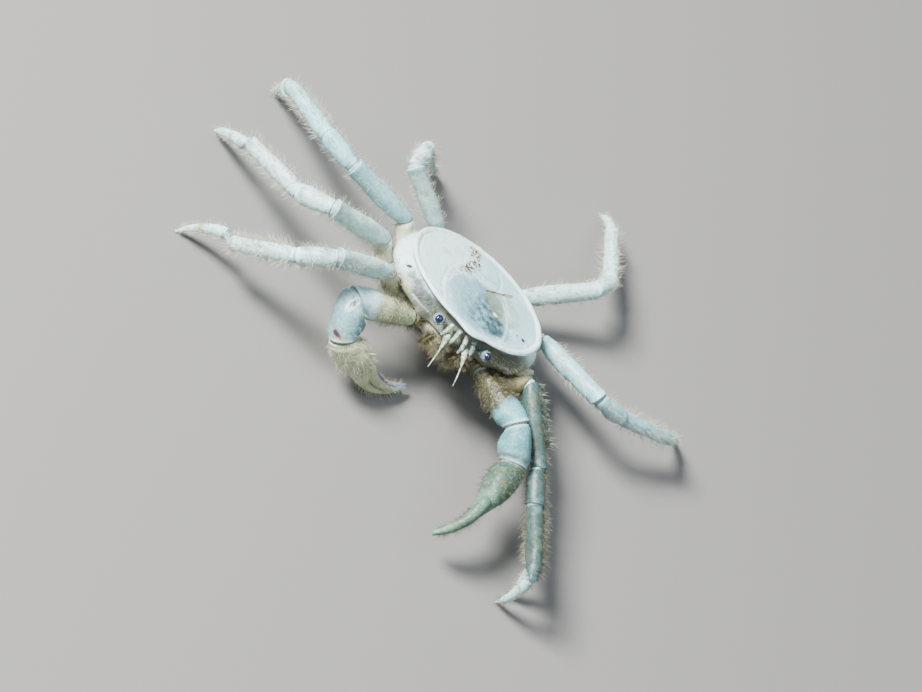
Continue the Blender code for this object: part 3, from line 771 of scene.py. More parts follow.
def join_limbs(bm, before, out_rows, after, in_rows, sides):
    """A soft joint: a sleeve from inside one limb's end to inside the next one's start."""
    outer = [before.ring(*row, sides) for row in out_rows]
    inner = [after.ring(*row, sides) for row in in_rows]
    order = match_ring(outer[-1], inner[0])
    turned = [[ring[index] for index in order] for ring in inner]
    middle = [a.lerp(b, 0.5) for a, b in zip(outer[-1], turned[0])]
    centre = centre_of(middle)
    middle = [centre + (point - centre) * JOINT_BULGE for point in middle]
    loft(bm, outer + [middle] + turned)


class Bow:
    """A curved, tapering limb: its centre line, its radii along it, and the plane of its first joint."""

    def __init__(self, name, centres, girth, normal, taper):
        self.name = name
        self.centres = centres
        self.girth = girth
        self.normal = normal
        self.taper = taper
        self.steps = np.cumsum([0.0] + [(b - a).length for a, b in zip(centres, centres[1:])])
        self.length = float(self.steps[-1])
        chord = centres[-1] - centres[0]
        self.side = chord.cross(Vector((0, 0, 1))).normalized()

    def centre(self, place):
        far = place * self.length
        return Vector([float(np.interp(far, self.steps, column)) for column in zip(*self.centres)])

    def axes(self, place):
        near, far = max(0.0, place - 0.08), min(1.0, place + 0.08)
        along = (self.centre(far) - self.centre(near)).normalized()
        across = (self.side - self.side.dot(along) * along).normalized()
        return along, across, across.cross(along)

    def point(self, place, angle, swell=1.0):
        along, across, deep = self.axes(place)
        far = place * self.length
        wide, thick = (float(np.interp(far, self.steps, column)) for column in zip(*self.girth))
        swell *= 1.0 - self.taper * soft_step(0.72, 1.0, place)
        offset = (across * (math.cos(angle) * wide) + deep * (math.sin(angle) * thick)) * swell
        slide = 0.0
        if self.normal is not None:
            most = MITRE_LIMIT * max(wide, thick, 0.1)
            slide = -offset.dot(self.normal) / along.dot(self.normal) * soft_step(0.18, 0.0, place)
            slide = most * math.tanh(slide / most)
        return self.centre(place) + offset + along * slide

    def ring(self, place, swell=1.0, sides=SLEEVE_SIDES):
        return [self.point(place, 2 * math.pi * k / sides, swell) for k in range(sides)]


def read_bow(name, near, sides=12, taper=0.45):
    """A bowed limb, such as a leg's last segment or a claw's finger, read from its node's rings."""
    rings = rings_of(name, near, sides)
    centres = [centre_of(ring) for ring in rings]
    normal = plane_of(rings[0], centres[1] - centres[0])
    girth = [max((point - centre).length for point in ring) for centre, ring in zip(centres, rings)]
    girth[0] = girth[1]
    return Bow(name, centres, [(0.92 * size, size) for size in girth], normal, taper)


def leg_finish(name, pale, dark, amount):
    """A leg's paint: its ground colour, clouded and speckled by a darker one over so much of it."""
    material, shader, place = start_finish(name)
    edge = place.attribute("edge")
    cloud, mottle, fine = place.grains(0.9, 2.2, 6.0)
    near_joint = (1 - edge.ramp(0.1, 1.0)) * (mottle + (cloud - 0.5)).ramp(0.42, 0.62)
    colour = paint(
        mottle.ramp(0.35, 0.7).mix(tint(pale, 0.86), pale),
        (cloud.ramp(0.5, 0.66) * mottle.ramp(0.38, 0.62) * amount, dark),
        (mottle.ramp(0.58, 0.68) * amount * 0.9, dark),
        (fine.ramp(0.6, 0.68) * amount * 0.6, dark),
        (near_joint * 0.5, JOINT_BLUE),
        ((1 - edge.ramp(0.06, 0.22)) * 0.6, tint(pale, 1.15)),
        ((1 - edge.ramp(-0.06, 0.03)) * 0.7, MEMBRANE),
    )
    set_finish(shader, colour, 0.34 + 0.2 * mottle, fine * 0.7 + mottle * 0.6, 0.03, **LIMB_GLOW)
    return material


def membrane_finish():
    material, shader, place = start_finish("membrane")
    fine = place.noise(6.0, 3.0)
    set_finish(shader, fine.ramp(0.3, 0.7).mix(MEMBRANE, tint(MEMBRANE, 1.7)), 0.35, fine, 0.02)
    return material


LEG_SHELL = leg_finish("leg_shell", LEG_WHITE, LEG_OLIVE, 0.55)
LEG_SHADED = leg_finish("leg_shell_shaded", LEG_SHADE_GREEN, LEG_SHADOW, 0.8)
LEG_BACK = leg_finish("leg_shell_blue", LEG_BLUE, LEG_OLIVE, 0.45)
TIP_SHELL = leg_finish("leg_tip_shell", LEG_WHITE, LEG_OLIVE, 0.75)
MEMBRANE_SKIN = membrane_finish()


def make_dactyl(dactyl):
    rings = [dactyl.ring(place, swell) for place, swell in TIP_SHOULDER]
    rings += [dactyl.ring(0.1 + 0.9 * k / 24) for k in range(25)]
    bm = bmesh.new()
    loft(bm, rings)
    edge = bm.verts.layers.float.new("edge")
    for vert in bm.verts:
        vert.co.z = max(vert.co.z, 0.0)
        vert[edge] = (vert.co - dactyl.centres[0]).length
    finish_piece(dactyl.name + "_shell", bm, TIP_SHELL, "leg_tip", [dactyl.name])


def make_legs():
    """All eight walking legs. Returns each one's tubes and tip, for the hairs and the roots."""
    made = {}
    middle = BODY @ Vector((0, 0, HIP_LEVEL))
    for side in ("right", "left"):
        for pair in (1, 2, 3, 4):
            prefix = f"leg_{pair}_{side}_"
            shell = LEG_BACK if pair == 3 else LEG_SHELL
            # The first two left legs take the darker copy of the leg paint, which is painted shade.
            if side == "left" and pair in (1, 2):
                shell = LEG_SHADED
            near = middle
            chain = []
            for part in LEG_PARTS:
                tube = read_tube(prefix + part, near)
                make_tube(tube, shell, "leg", LEG_ENDS, LEG_SIDES)
                chain.append(tube)
                near = tube.end
            dactyl = read_bow(prefix + "dactyl", near)
            make_dactyl(dactyl)
            bm = bmesh.new()
            for before, after in zip(chain, chain[1:]):
                join_limbs(bm, before, SLEEVE_OUT, after, SLEEVE_IN, SLEEVE_SIDES)
            join_limbs(bm, chain[-1], SLEEVE_OUT, dactyl, TIP_SLEEVE_IN, SLEEVE_SIDES)
            finish_piece(prefix + "joints", bm, MEMBRANE_SKIN, "leg")
            made[f"{pair}_{side}"] = (chain, dactyl)
    return made


legs = make_legs()


# The chelipeds: slender closed claws, each an arm, a wrist, a palm with its fixed finger, and the finger
# that moves in life. They are cast like the legs, heavier and rounder, and painted beige, blue and green.
# The left one's darker olive arm and green palm and finger are partly painted shade.
CLAW_AIMS = {"right": ((207, 9), (290, -28), (6, -36)), "left": ((-43, 19), (-56, -28), (-100, -6))}
WRIST_LENGTH = 2.1
WRIST_GIRTH = {
    "right": ((0.0, 0.70, 0.74), (0.1, 0.78, 0.84), (0.25, 0.84, 0.90), (0.5, 0.88, 0.94), (0.8, 0.84, 0.90),
              (1.0, 0.74, 0.80)),
    "left": ((0.0, 0.56, 0.62), (0.1, 0.65, 0.74), (0.25, 0.74, 0.84), (0.5, 0.82, 0.90), (0.8, 0.82, 0.90),
             (1.0, 0.72, 0.78)),
}
PALM_LENGTH = 2.9
PALM_GIRTH = ((0.0, 0.68, 0.74), (0.1, 0.76, 0.84), (0.3, 0.84, 0.96), (0.5, 0.82, 0.96), (0.7, 0.72, 0.88),
              (0.85, 0.62, 0.78), (1.0, 0.52, 0.66))
ARM_ENDS = (0.9, 1.0, 0.84)
WRIST_ENDS = (0.95, 0.99, 0.84)
PALM_ENDS = (0.95, 1.0, 0.84)
PALM_RINGS = 16
PALM_STATIONS = 19
PALM_END = 0.86
FINGER_START = 0.16
FINGER_RINGS = 30
CLAW_SLEEVE_OUT = ((1.0, 0.8, -0.3), (1.0, 0.8, -0.06))
CLAW_SLEEVE_IN = ((0.0, 0.8, 0.05), (0.0, 0.7, 0.3))
JOINT_RINGS = 6
HEEL = ((0.0, 0.5), (0.15, 0.8), (0.4, 1.0), (0.8, 1.06))
CLAW_BEND = 0.85
FINGER_PARTING = 0.5
FINGER_CLOSER = 0.16
FINGER_PLUMP = 1.2
FINGER_TAPER = 0.3
CLAW_SIDES = 32
WRIST_BLUE = (0.27, 0.50, 0.56)
CLAW_OLIVE = (0.17, 0.16, 0.06)
CLAW_BEIGE = (0.50, 0.56, 0.34)
# The dark olive and the green here are partly painted shade: darker grounds for the left claw, which lies in
# shade.
CLAW_SHADED = (0.045, 0.045, 0.02)
CLAW_SHADE_GREEN = (0.06, 0.13, 0.095)
CLAW_SLATE = (0.13, 0.29, 0.33)
CLAW_BLUE = (0.50, 0.75, 0.84)
CLAW_VIOLET = (0.007, 0.007, 0.05)
CLAW_TEAL = (0.02, 0.08, 0.10)
CLAW_SHADE_LILAC = (0.05, 0.06, 0.24)
CLAW_CYAN = (0.11, 0.37, 0.42)
CLAW_YELLOW = (0.62, 0.52, 0.17)
CLAW_ORANGE = (0.40, 0.17, 0.02)
STREAK_REACH = 0.62
WRIST_MARKS = (("streak", 0.82, 0.75, (1, -1)), ("dent", 0.22, -0.05, (1, 0.9)))


def aim(heading, rise):
    heading, rise = math.radians(heading), math.radians(rise)
    return Vector((math.cos(rise) * math.cos(heading), math.cos(rise) * math.sin(heading), math.sin(rise)))


def claw_finish(name, ground, end, end_from, spots, rim=0.4, hollow_shade=0.0):
    """A claw's paint: its ground, a paler end from so far along, how speckled it is, how pale its rims are
    and how strong the painted shade in the hollow of its curve is, which also sets the yellow strip there."""
    material, shader, place = start_finish(name)
    along = place.attribute("along")
    edge = place.attribute("edge")
    inner = place.attribute("inner")
    cloud, mottle, fine = place.grains(0.9, 2.6, 7.0)
    dent = place.attribute("dent") + (fine - 0.5) * 0.6
    streak = place.attribute("streak") + (fine - 0.5) * 0.5
    colour = paint(
        cloud.ramp(0.35, 0.65).mix(tint(ground, 0.75), ground),
        ((along + (mottle - 0.5) * 0.3).ramp(end_from, end_from + 0.22), end),
        (mottle.ramp(0.54, 0.66) * spots, CLAW_OLIVE),
        (fine.ramp(0.56, 0.68) * 0.2, LEG_EDGE),
        ((1 - fine).ramp(0.58, 0.68) * spots, CLAW_OLIVE),
        # Painted shade: violet-grey in the hollow between the fingers.
        ((inner + (fine - 0.5) * 0.3).ramp(0.15, 0.45) * hollow_shade, CLAW_SHADE_LILAC),
        (inner.ramp(0.82, 0.94) * hollow_shade, CLAW_YELLOW),
        ((1 - edge.ramp(0.03, 0.22)) * rim, LEG_EDGE),
        ((1 - edge.ramp(-0.06, 0.02)) * 0.8, MEMBRANE),
        # Painted highlight: a pale ring round the dark dent spot on the right wrist.
        (dent.ramp(0.15, 0.4) * 0.6, LEG_EDGE),
        (dent.ramp(0.42, 0.7) * 0.85, CLAW_TEAL),
        (streak.ramp(0.15, 0.5) * 0.6, CLAW_ORANGE),
        (streak.ramp(0.4, 0.7) * 0.95, CLAW_VIOLET),
    )
    set_finish(shader, colour, 0.36 + 0.2 * mottle, fine * 0.8 + mottle * 0.7, 0.045, **LIMB_GLOW)
    return material


CLAW_PAINT = {
    "right_arm": claw_finish("right_claw_arm", CLAW_BEIGE, CLAW_BLUE, 0.62, 0.35),
    # The left claw's grounds are darker copies of its own olive and green, partly painted shade.
    "left_arm": claw_finish("left_claw_arm", CLAW_SHADED, CLAW_CYAN, 0.60, 0.7),
    "right_wrist": claw_finish("right_claw_wrist", WRIST_BLUE, CLAW_SLATE, 0.25, 0.35),
    "left_wrist": claw_finish("left_claw_wrist", CLAW_CYAN, CLAW_SLATE, 0.5, 0.35),
    "right_palm": claw_finish("right_claw_palm", tint(CLAW_BEIGE, 0.92), CLAW_BEIGE, 0.9, 0.5, 0.1, 0.8),
    "left_palm": claw_finish("left_claw_palm", CLAW_SHADE_GREEN, tint(CLAW_SHADE_GREEN, 1.5), 0.85, 0.7, 0.1),
    "right_finger": claw_finish("right_claw_finger", tint(CLAW_BEIGE, 0.95), CLAW_BLUE, 0.6, 0.3, 0.1, 0.8),
    "left_finger": claw_finish("left_claw_finger", tint(CLAW_SHADE_GREEN, 1.3), tint(CLAW_SHADE_GREEN, 2.2), 0.6, 0.5),
}


def finger_ring(finger, place, facing, swell=1.0):
    """A ring of a finger, flattened on the edge that faces the other finger, with low blunt teeth there."""
    along = finger.axes(place)[0]
    inward = (facing - facing.dot(along) * along).normalized()
    centre = finger.centre(place)
    tooth = max(0.0, math.sin(place * 45)) * soft_step(0.12, 0.25, place) * soft_step(0.97, 0.8, place)
    ring = []
    for point in finger.ring(place, swell, CLAW_SIDES):
        reach = point - centre
        lean = max(0.0, reach.normalized().dot(inward))
        ring.append(point + reach * (0.22 * tooth * lean ** 6 - 0.10 * lean ** 2))
    return ring


def mark_inner(bm, bow):
    """Writes how squarely each point of a finger faces the hollow of its curve."""
    inner = bm.verts.layers.float.new("inner")
    ends_middle = bow.centres[0].lerp(bow.centres[-1], 0.5)
    hollow = (ends_middle - bow.centre(0.5)).normalized()
    for vert in bm.verts:
        from_root = vert.co - bow.centres[0]
        place = from_root.length / bow.length
        if from_root.dot(bow.axes(0.0)[0]) > 0:
            reach = vert.co - bow.centre(min(1.0, place))
            vert[inner] = max(0.0, reach.normalized().dot(hollow)) * soft_step(0.0, 0.25, place)


def mark_finger(bm, bow):
    """Writes how far along its finger each point lies. Its joint is hidden, so it has no pale edge."""
    along = bm.verts.layers.float.new("along")
    edge = bm.verts.layers.float.new("edge")
    for vert in bm.verts:
        vert[along] = (vert.co - bow.centres[0]).length / bow.length
        vert[edge] = 1.0
    mark_inner(bm, bow)


def mark_wrist(bm, wrist):
    """The wrist's two dark marks: a streak on its outer side at the palm, and a dent near the elbow."""
    for name, place, outer, (right, up) in WRIST_MARKS:
        layer = bm.verts.layers.float.new(name)
        spot = max((wrist.point(place, k * math.pi / 16) for k in range(32)),
                   key=lambda point: point.dot(PICTURE_BACK - PICTURE_RIGHT * outer))
        run = (PICTURE_RIGHT * right + PICTURE_UP * up).normalized()
        for vert in bm.verts:
            reach = vert.co - spot
            far = math.hypot(reach.dot(run) * 0.6, (reach - run * reach.dot(run)).length * 2.0)
            vert[layer] = max(0.0, 1 - far / STREAK_REACH)


def make_palm(palm, fixed, apart, paint_of_palm):
    """The palm narrows into the fixed finger in one cast."""
    stations = tube_stations(PALM_ENDS, PALM_RINGS)[:PALM_STATIONS]
    rings = tube_rings(palm, stations, CLAW_SIDES, 0.05)
    bridge = palm.ring(PALM_END, 0.96, 0, CLAW_SIDES)
    order = match_ring(bridge, finger_ring(fixed, FINGER_START, apart))
    swollen = finger_ring(fixed, FINGER_START, apart, 1.08)
    first = [swollen[k] for k in order]
    rings.append(bridge)
    for share in (0.3, 0.6, 0.85):
        rings.append([a.lerp(b, soft_step(0, 1, share)) for a, b in zip(bridge, first)])
    for k in range(FINGER_RINGS):
        ring = finger_ring(fixed, FINGER_START + (1 - FINGER_START) * k / (FINGER_RINGS - 1), apart)
        rings.append([ring[index] for index in order])
    bm = bmesh.new()
    loft(bm, rings)
    past_palm = len(rings) - len(stations)
    stations += [(1.0 + k / past_palm, 0, 0, False) for k in range(past_palm)]
    mark_tube(bm, palm, stations)
    edge = bm.verts.layers.float["edge"]
    for vert in list(bm.verts)[JOINT_RINGS * CLAW_SIDES:]:
        vert[edge] = 1.0
    mark_inner(bm, fixed)
    finish_piece(palm.name + "_shell", bm, paint_of_palm, "claw", [palm.name])


def make_finger(mover, apart, paint_of_finger):
    """The movable finger, with its rounded heel sunk in the palm's end."""
    heel = mover.centre(0.0) - mover.axes(0.0)[0] * 0.4
    front = mover.centre(0.06)
    rings = []
    for share, swell in HEEL:
        centre = heel.lerp(front, share)
        rings.append([centre + (point - front) * swell for point in finger_ring(mover, 0.06, -apart)])
    rings += [finger_ring(mover, 0.09 + 0.91 * k / FINGER_RINGS, -apart) for k in range(FINGER_RINGS + 1)]
    bm = bmesh.new()
    loft(bm, rings)
    mark_finger(bm, mover)
    finish_piece(mover.name + "_shell", bm, paint_of_finger, "claw", [mover.name])


def make_claw(side):
    """One cheliped. Returns its tubes and fingers, for the hairs and the roots."""
    prefix = f"claw_{side}_"
    arm_axis, wrist_axis, palm_axis = (aim(*way) for way in CLAW_AIMS[side])
    arm = read_tube(prefix + "arm", None, arm_axis, CLAW_BEND)
    elbow = past_joint(arm.end, arm_axis, arm.normals[1])
    bend = (wrist_axis + palm_axis).normalized()
    hand = elbow + wrist_axis * WRIST_LENGTH
    wrist = Tube(prefix + "wrist", past_joint(elbow, wrist_axis, arm.normals[1]),
                 past_joint(hand, wrist_axis, bend, -SHOWN_GAP), (arm.normals[1], bend), WRIST_GIRTH[side],
                 CLAW_BEND)
    mover = read_bow(prefix + "finger", palm_axis * -99)
    palm = Tube(prefix + "palm", past_joint(hand, palm_axis, bend), hand + palm_axis * PALM_LENGTH,
                (bend, mover.normal), PALM_GIRTH, CLAW_BEND)
    make_tube(arm, CLAW_PAINT[side + "_arm"], "claw", ARM_ENDS, CLAW_SIDES)
    marks = (lambda bm: mark_wrist(bm, wrist)) if side == "right" else None
    make_tube(wrist, CLAW_PAINT[side + "_wrist"], "claw", WRIST_ENDS, CLAW_SIDES, marks)
    tip_way = (mover.centres[-1] - mover.centres[0]).normalized()
    up = Vector((0, 0, 1))
    apart = (up - up.dot(tip_way) * tip_way).normalized()
    girth = [(wide * FINGER_PLUMP, deep * FINGER_PLUMP) for wide, deep in mover.girth]
    parting = FINGER_PARTING - FINGER_CLOSER
    lower = [c - apart * (parting + 1.7 * wide) for c, (wide, _) in zip(mover.centres, mover.girth)]
    upper = [c - apart * FINGER_CLOSER for c in mover.centres]
    fixed = Bow(prefix + "fixed_finger", lower, girth, mover.normal, FINGER_TAPER)
    mover = Bow(prefix + "finger", upper, girth, mover.normal, FINGER_TAPER)
    make_palm(palm, fixed, apart, CLAW_PAINT[side + "_palm"])
    make_finger(mover, apart, CLAW_PAINT[side + "_finger"])
    bm = bmesh.new()
    join_limbs(bm, arm, CLAW_SLEEVE_OUT, wrist, CLAW_SLEEVE_IN, CLAW_SIDES)
    join_limbs(bm, wrist, CLAW_SLEEVE_OUT, palm, CLAW_SLEEVE_IN, CLAW_SIDES)
    finish_piece(prefix + "joints", bm, MEMBRANE_SKIN, "claw")
    return [arm, wrist, palm], fixed, mover


claws = {side: make_claw(side) for side in ("right", "left")}


# The underside: an oval breastplate scored between its segments, the flap of the abdomen folded beneath it,
# and the short root of every limb, coxa, basis and ischium, which plugs into the breastplate's edge.
BREAST_HALF_WIDTH = 3.6
BREAST_HALF_LENGTH = 2.9
BREAST_TOP = -1.82
BREAST_BOTTOM = -2.7
BREAST_SIDES = 120
ROOT_ELBOW = 0.7
LEG_ROOT_SUNK = 0.75
CLAW_ROOT_SUNK = 0.55
LEG_ROOT_GIRTH = 0.43
CLAW_ROOT_GIRTH = 0.48
ROOT_SIDES = 20
ROOT_STEPS = 16
ROOT_SLEEVE_OUT = ((0.06, 0.7), (0.0, 0.78))
ROOT_SLEEVE_IN = ((0.0, 0.78, 0.05), (0.0, 0.7, 0.3))
ROOT_PROFILE = (
    (0.0, 0.86), (0.03, 0.98), (0.08, 1.06), (0.16, 1.02), (0.24, 0.96), (0.34, 1.02), (0.42, 1.04),
    (0.49, 0.84), (0.54, 0.92), (0.66, 1.14), (0.8, 1.18), (0.92, 1.08), (1.0, 0.9),
)
FLAP_PATH = (
    (3.42, -1.84, 0.9), (3.55, -2.35, 1.1), (3.2, -3.05, 1.25), (2.2, -3.36, 1.2), (1.4, -3.38, 0.95),
    (0.7, -3.36, 0.4),
)
FLAP_HALF_DEPTH = 0.24
FLAP_SIDES = 48
BELLY_TAN = (0.50, 0.48, 0.30)
BELLY_PALE = (0.68, 0.72, 0.60)
# The olive and tan of the mouth are partly painted shade: the front's own olive, darkened for the shade
# under the rim. The same paint covers the claws' roots and the root of the first left leg.
MOUTH_OLIVE = (0.08, 0.07, 0.03)
MOUTH_TAN = (0.15, 0.14, 0.075)


def belly_finish(name, dark, pale):
    material, shader, place = start_finish(name)
    cloud, mottle, fine = place.grains(0.8, 2.4, 7.0)
    z = place.parts()[2]
    colour = paint(
        cloud.ramp(0.35, 0.65).mix(dark, pale),
        (mottle.ramp(0.55, 0.68) * 0.6, CLAW_OLIVE),
        (z.ramp(-2.1, -1.0) * 0.3, pale),
    )
    set_finish(shader, colour, 0.45, fine * 0.8 + mottle * 0.8, 0.045, **LIMB_GLOW)
    return material


def breast_ring(share, level, scored=False):
    """A ring of the breastplate. A scored one has grooves between the segments and along the middle."""
    points = []
    for k in range(BREAST_SIDES):
        angle = 2 * math.pi * k / BREAST_SIDES
        x = BREAST_HALF_WIDTH * share * math.cos(angle)
        y = BREAST_HALF_LENGTH * share * math.sin(angle)
        groove = valley((y + 0.35 * abs(x)) % 0.95 - 0.475, 0.07) * soft_step(0.25, 0.6, abs(x))
        score = 0.08 * max(groove, valley(x, 0.07)) - 0.1 * (1 - share)
        points.append(Vector((x, y, level + score * scored)))
    return points


def make_breastplate():
    rings = [breast_ring(0.9, BREAST_TOP), breast_ring(1.0, BREAST_TOP - 0.05)]
    rings += [breast_ring(1.02, BREAST_TOP - 0.3), breast_ring(0.99, BREAST_BOTTOM + 0.3)]
    rings += [breast_ring(0.95, BREAST_BOTTOM + 0.12), breast_ring(0.9, BREAST_BOTTOM, True)]
    rings += [breast_ring(0.86 - 0.84 * k / 24, BREAST_BOTTOM, True) for k in range(25)]
    cast("breastplate", rings, BELLY, "underside", ["sternum"], BODY)


def between_rows(rows, place):
    """The values of a table of evenly spaced rows at a place: 0 at its first row, 1 at its second."""
    return [float(np.interp(place, range(len(rows)), column)) for column in zip(*rows)]


def make_flap():
    """The abdomen: seven broad rings, folded down behind and forward beneath the body."""
    rings = []
    for k in range(61):
        place = k / 60 * (len(FLAP_PATH) - 1)
        y, z, half = between_rows(FLAP_PATH, place)
        ahead, behind = between_rows(FLAP_PATH, place + 0.5), between_rows(FLAP_PATH, place - 0.5)
        tangent = Vector((0, ahead[0] - behind[0], ahead[1] - behind[1])).normalized()
        upright = Vector((1, 0, 0)).cross(tangent)
        close = 1 - 0.35 * soft_step(0.97, 1.0, k / 60) - 0.2 * soft_step(0.03, 0.0, k / 60)
        joint = 1 - 0.16 * valley(k % 9 - 4.5, 0.9)
        deep = upright * (FLAP_HALF_DEPTH * close * joint)
        angles = [2 * math.pi * turn / FLAP_SIDES for turn in range(FLAP_SIDES)]
        rings.append([Vector((half * close * math.cos(a), y, z)) + deep * math.sin(a) for a in angles])
    cast("abdomen", rings, BELLY, "underside", ["pleon"], BODY)


def arc_bow(name, ends, bend, sizes, steps, flat=1.0, normal=None):
    """A limb on a smooth arc between two ends, drawn towards a bend, with its girth from a table."""
    shares = [k / steps for k in range(steps + 1)]
    centres = [(1 - t) ** 2 * ends[0] + 2 * t * (1 - t) * bend + t * t * ends[1] for t in shares]
    girths = [profile(sizes, t, 1)[0] for t in shares]
    return Bow(name, centres, [(girth, girth * flat) for girth in girths], normal, 0.0)


def root_bow(name, first, girth, is_leg):
    """The bent path of a limb's root, from its joint with the first tube to inside the breastplate."""
    joint = past_joint(first.start, first.along, first.normals[0], -SHOWN_GAP)
    root = BODY.inverted() @ joint
    outward = Vector((root.x, root.y, 0)).normalized()
    if is_leg:
        inner = Vector((BREAST_HALF_WIDTH * outward.x, BREAST_HALF_LENGTH * outward.y, 0)) * LEG_ROOT_SUNK
        elbow = root - outward * ROOT_ELBOW
    else:
        inner = Vector((root.x, root.y, 0)) * CLAW_ROOT_SUNK
        elbow = inner.lerp(root, 0.6)
    inner.z = elbow.z = HIP_LEVEL
    start = joint - first.normals[0] * SHOWN_GAP
    sizes = [(place, size * girth) for place, size in ROOT_PROFILE]
    return arc_bow(name, (start, BODY @ inner), BODY @ elbow, sizes, ROOT_STEPS, 1.08, -first.normals[0])


def make_roots():
    """Makes the roots of all ten limbs and the soft joints that carry them."""
    made = {}
    firsts = {f"leg_{name}": (chain[0], LEG_ROOT_GIRTH) for name, (chain, _) in legs.items()}
    firsts.update({f"claw_{side}": (parts[0][0], CLAW_ROOT_GIRTH) for side, parts in claws.items()})
    for name, (first, girth) in firsts.items():
        is_leg = name.startswith("leg")
        bow = root_bow(name + "_root", first, girth, is_leg)
        rings = [bow.ring(0.0, 0.75, ROOT_SIDES)] + [bow.ring(k / 40, 1.0, ROOT_SIDES) for k in range(41)]
        # The claws' roots and the first left leg's root take the darker mouth paint, partly painted shade.
        skin = BELLY if is_leg and name != "leg_1_left" else MOUTH_SHADED
        cast(bow.name, rings, skin, "underside", ["sternum"])
        bm = bmesh.new()
        join_limbs(bm, bow, ROOT_SLEEVE_OUT, first, ROOT_SLEEVE_IN, ROOT_SIDES)
        finish_piece(name + "_root_joint", bm, MEMBRANE_SKIN, "underside")
        made[name] = bow
    return made


BELLY = belly_finish("underside", BELLY_TAN, BELLY_PALE)
MOUTH_SHADED = belly_finish("mouth", MOUTH_OLIVE, MOUTH_TAN)
make_breastplate()
make_flap()
roots = make_roots()


# The eyes: dark glossy corneas of cast resin, each set in the pale cup at the end of a short stalk, which
# comes from under the rim beside the rostrum.
SIDES = {"right": -1, "left": 1}
EYE_CENTRE = (1.62, -3.72, -0.75)
STALK_ROOT = (1.30, -3.25, -0.88)
EYE_FACING = (0.35, -0.65, 0.67)
STALK_PROFILE = (
    (0.0, 0.20), (0.3, 0.22), (0.5, 0.25), (0.7, 0.31), (0.85, 0.33), (0.95, 0.28), (1.0, 0.19),
)
STALK_STEPS = 12
STALK_SIDES = 24
CORNEA_RADIUS = 0.2
CORNEA_STRETCH = (1.0, 1.12, 0.8, 1.0)
STALK_PALE = (0.15, 0.21, 0.23)
EYE_DARK = (0.003, 0.005, 0.018)
EYE_SHEEN = (0.008, 0.018, 0.06)
THIN_GLOW = {"Subsurface_Weight": 0.15, "Subsurface_Scale": 0.0003}


def mirrored(sign, point):
    return BODY @ Vector((sign * point[0], point[1], point[2]))


def eye_finish():
    material, shader, place = start_finish("cornea")
    facets = place.cells(16.0)
    set_finish(shader, facets.ramp(0.1, 0.9).mix(EYE_DARK, EYE_SHEEN), 0.12, facets, 0.008,
               Coat_Weight=0.7, Coat_Roughness=0.05)
    return material


def stalk_finish():
    material, shader, place = start_finish("eye_stalk")
    mottle = place.noise(4.0)
    fine = place.noise(9.0, 3.0)
    colour = paint(
        STALK_PALE,
        (mottle.ramp(0.44, 0.58) * 0.9, WALL_DARK),
        (fine.ramp(0.56, 0.66) * 0.5, SHELL_WHITE),
    )
    set_finish(shader, colour, 0.35, fine + mottle, 0.03, **THIN_GLOW)
    return material


def make_eye(side, sign):
    centre, root = mirrored(sign, EYE_CENTRE), mirrored(sign, STALK_ROOT)
    facing = (mirrored(sign, EYE_FACING) - mirrored(sign, (0, 0, 0))).normalized()
    tip = centre + facing * 0.16
    stalk = arc_bow(f"eye_{side}_stalk", (root, tip), centre - facing * 0.15, STALK_PROFILE, STALK_STEPS)
    rings = [stalk.ring(k / 24, 1.0, STALK_SIDES) for k in range(25)]
    rings.append(stalk.ring(1.0, 0.72, STALK_SIDES))
    cast(stalk.name, rings, STALK_SKIN, "eye", [f"eye_{side}"])
    turn = facing.to_track_quat("Z", "Y").to_matrix().to_4x4()
    place = Matrix.Translation(tip) @ turn @ Matrix.Diagonal(CORNEA_STRETCH)
    bm = bmesh.new()
    bmesh.ops.create_uvsphere(bm, u_segments=32, v_segments=20, radius=CORNEA_RADIUS, matrix=place)
    finish_piece(f"eye_{side}_cornea", bm, CORNEA, "eye", [f"eye_{side}"])


CORNEA = eye_finish()
STALK_SKIN = stalk_finish()
for eye_side, eye_sign in SIDES.items():
    make_eye(eye_side, eye_sign)


# The feelers: two antennae of three stout joints and a fine ringed whip, and two short folded antennules
# between them, cast in pale translucent resin and pinned under the rostrum.
ANTENNA_SWELL = (
    (0.0, 0.70), (0.02, 0.82), (0.12, 0.86), (0.17, 0.78), (0.185, 0.58), (0.20, 0.68), (0.29, 0.72),
    (0.33, 0.60), (0.345, 0.42), (0.36, 0.48), (0.44, 0.50), (0.47, 0.42), (0.485, 0.26), (0.52, 0.30),
    (0.8, 0.30), (1.0, 0.36),
)
ANTENNULES = (
    ((0.22, -3.45, -0.62), (0.30, -3.80, -0.85), (0.34, -3.98, -1.15), (0.36, -3.95, -1.50)),
    ((0.74, -3.42, -0.70), (0.86, -3.72, -0.90), (0.92, -3.84, -1.12), (0.95, -3.80, -1.35)),
)
ANTENNULE_GIRTH = (0.14, 0.13, 0.11, 0.06)
FEELER_SIDES = 14
FEELER_PALE = (0.36, 0.38, 0.24)
FEELER_BLUE = (0.13, 0.19, 0.20)


def feeler_finish():
    material, shader, place = start_finish("feeler")
    mottle = place.noise(3.0)
    fine = place.noise(9.0, 3.0)
    colour = mottle.ramp(0.42, 0.6).mix(FEELER_PALE, FEELER_BLUE)
    colour = (fine.ramp(0.52, 0.62) * 0.7).mix(colour, SHELL_WHITE)
    set_finish(shader, colour, 0.4, fine + mottle, 0.03, **THIN_GLOW)
    return material


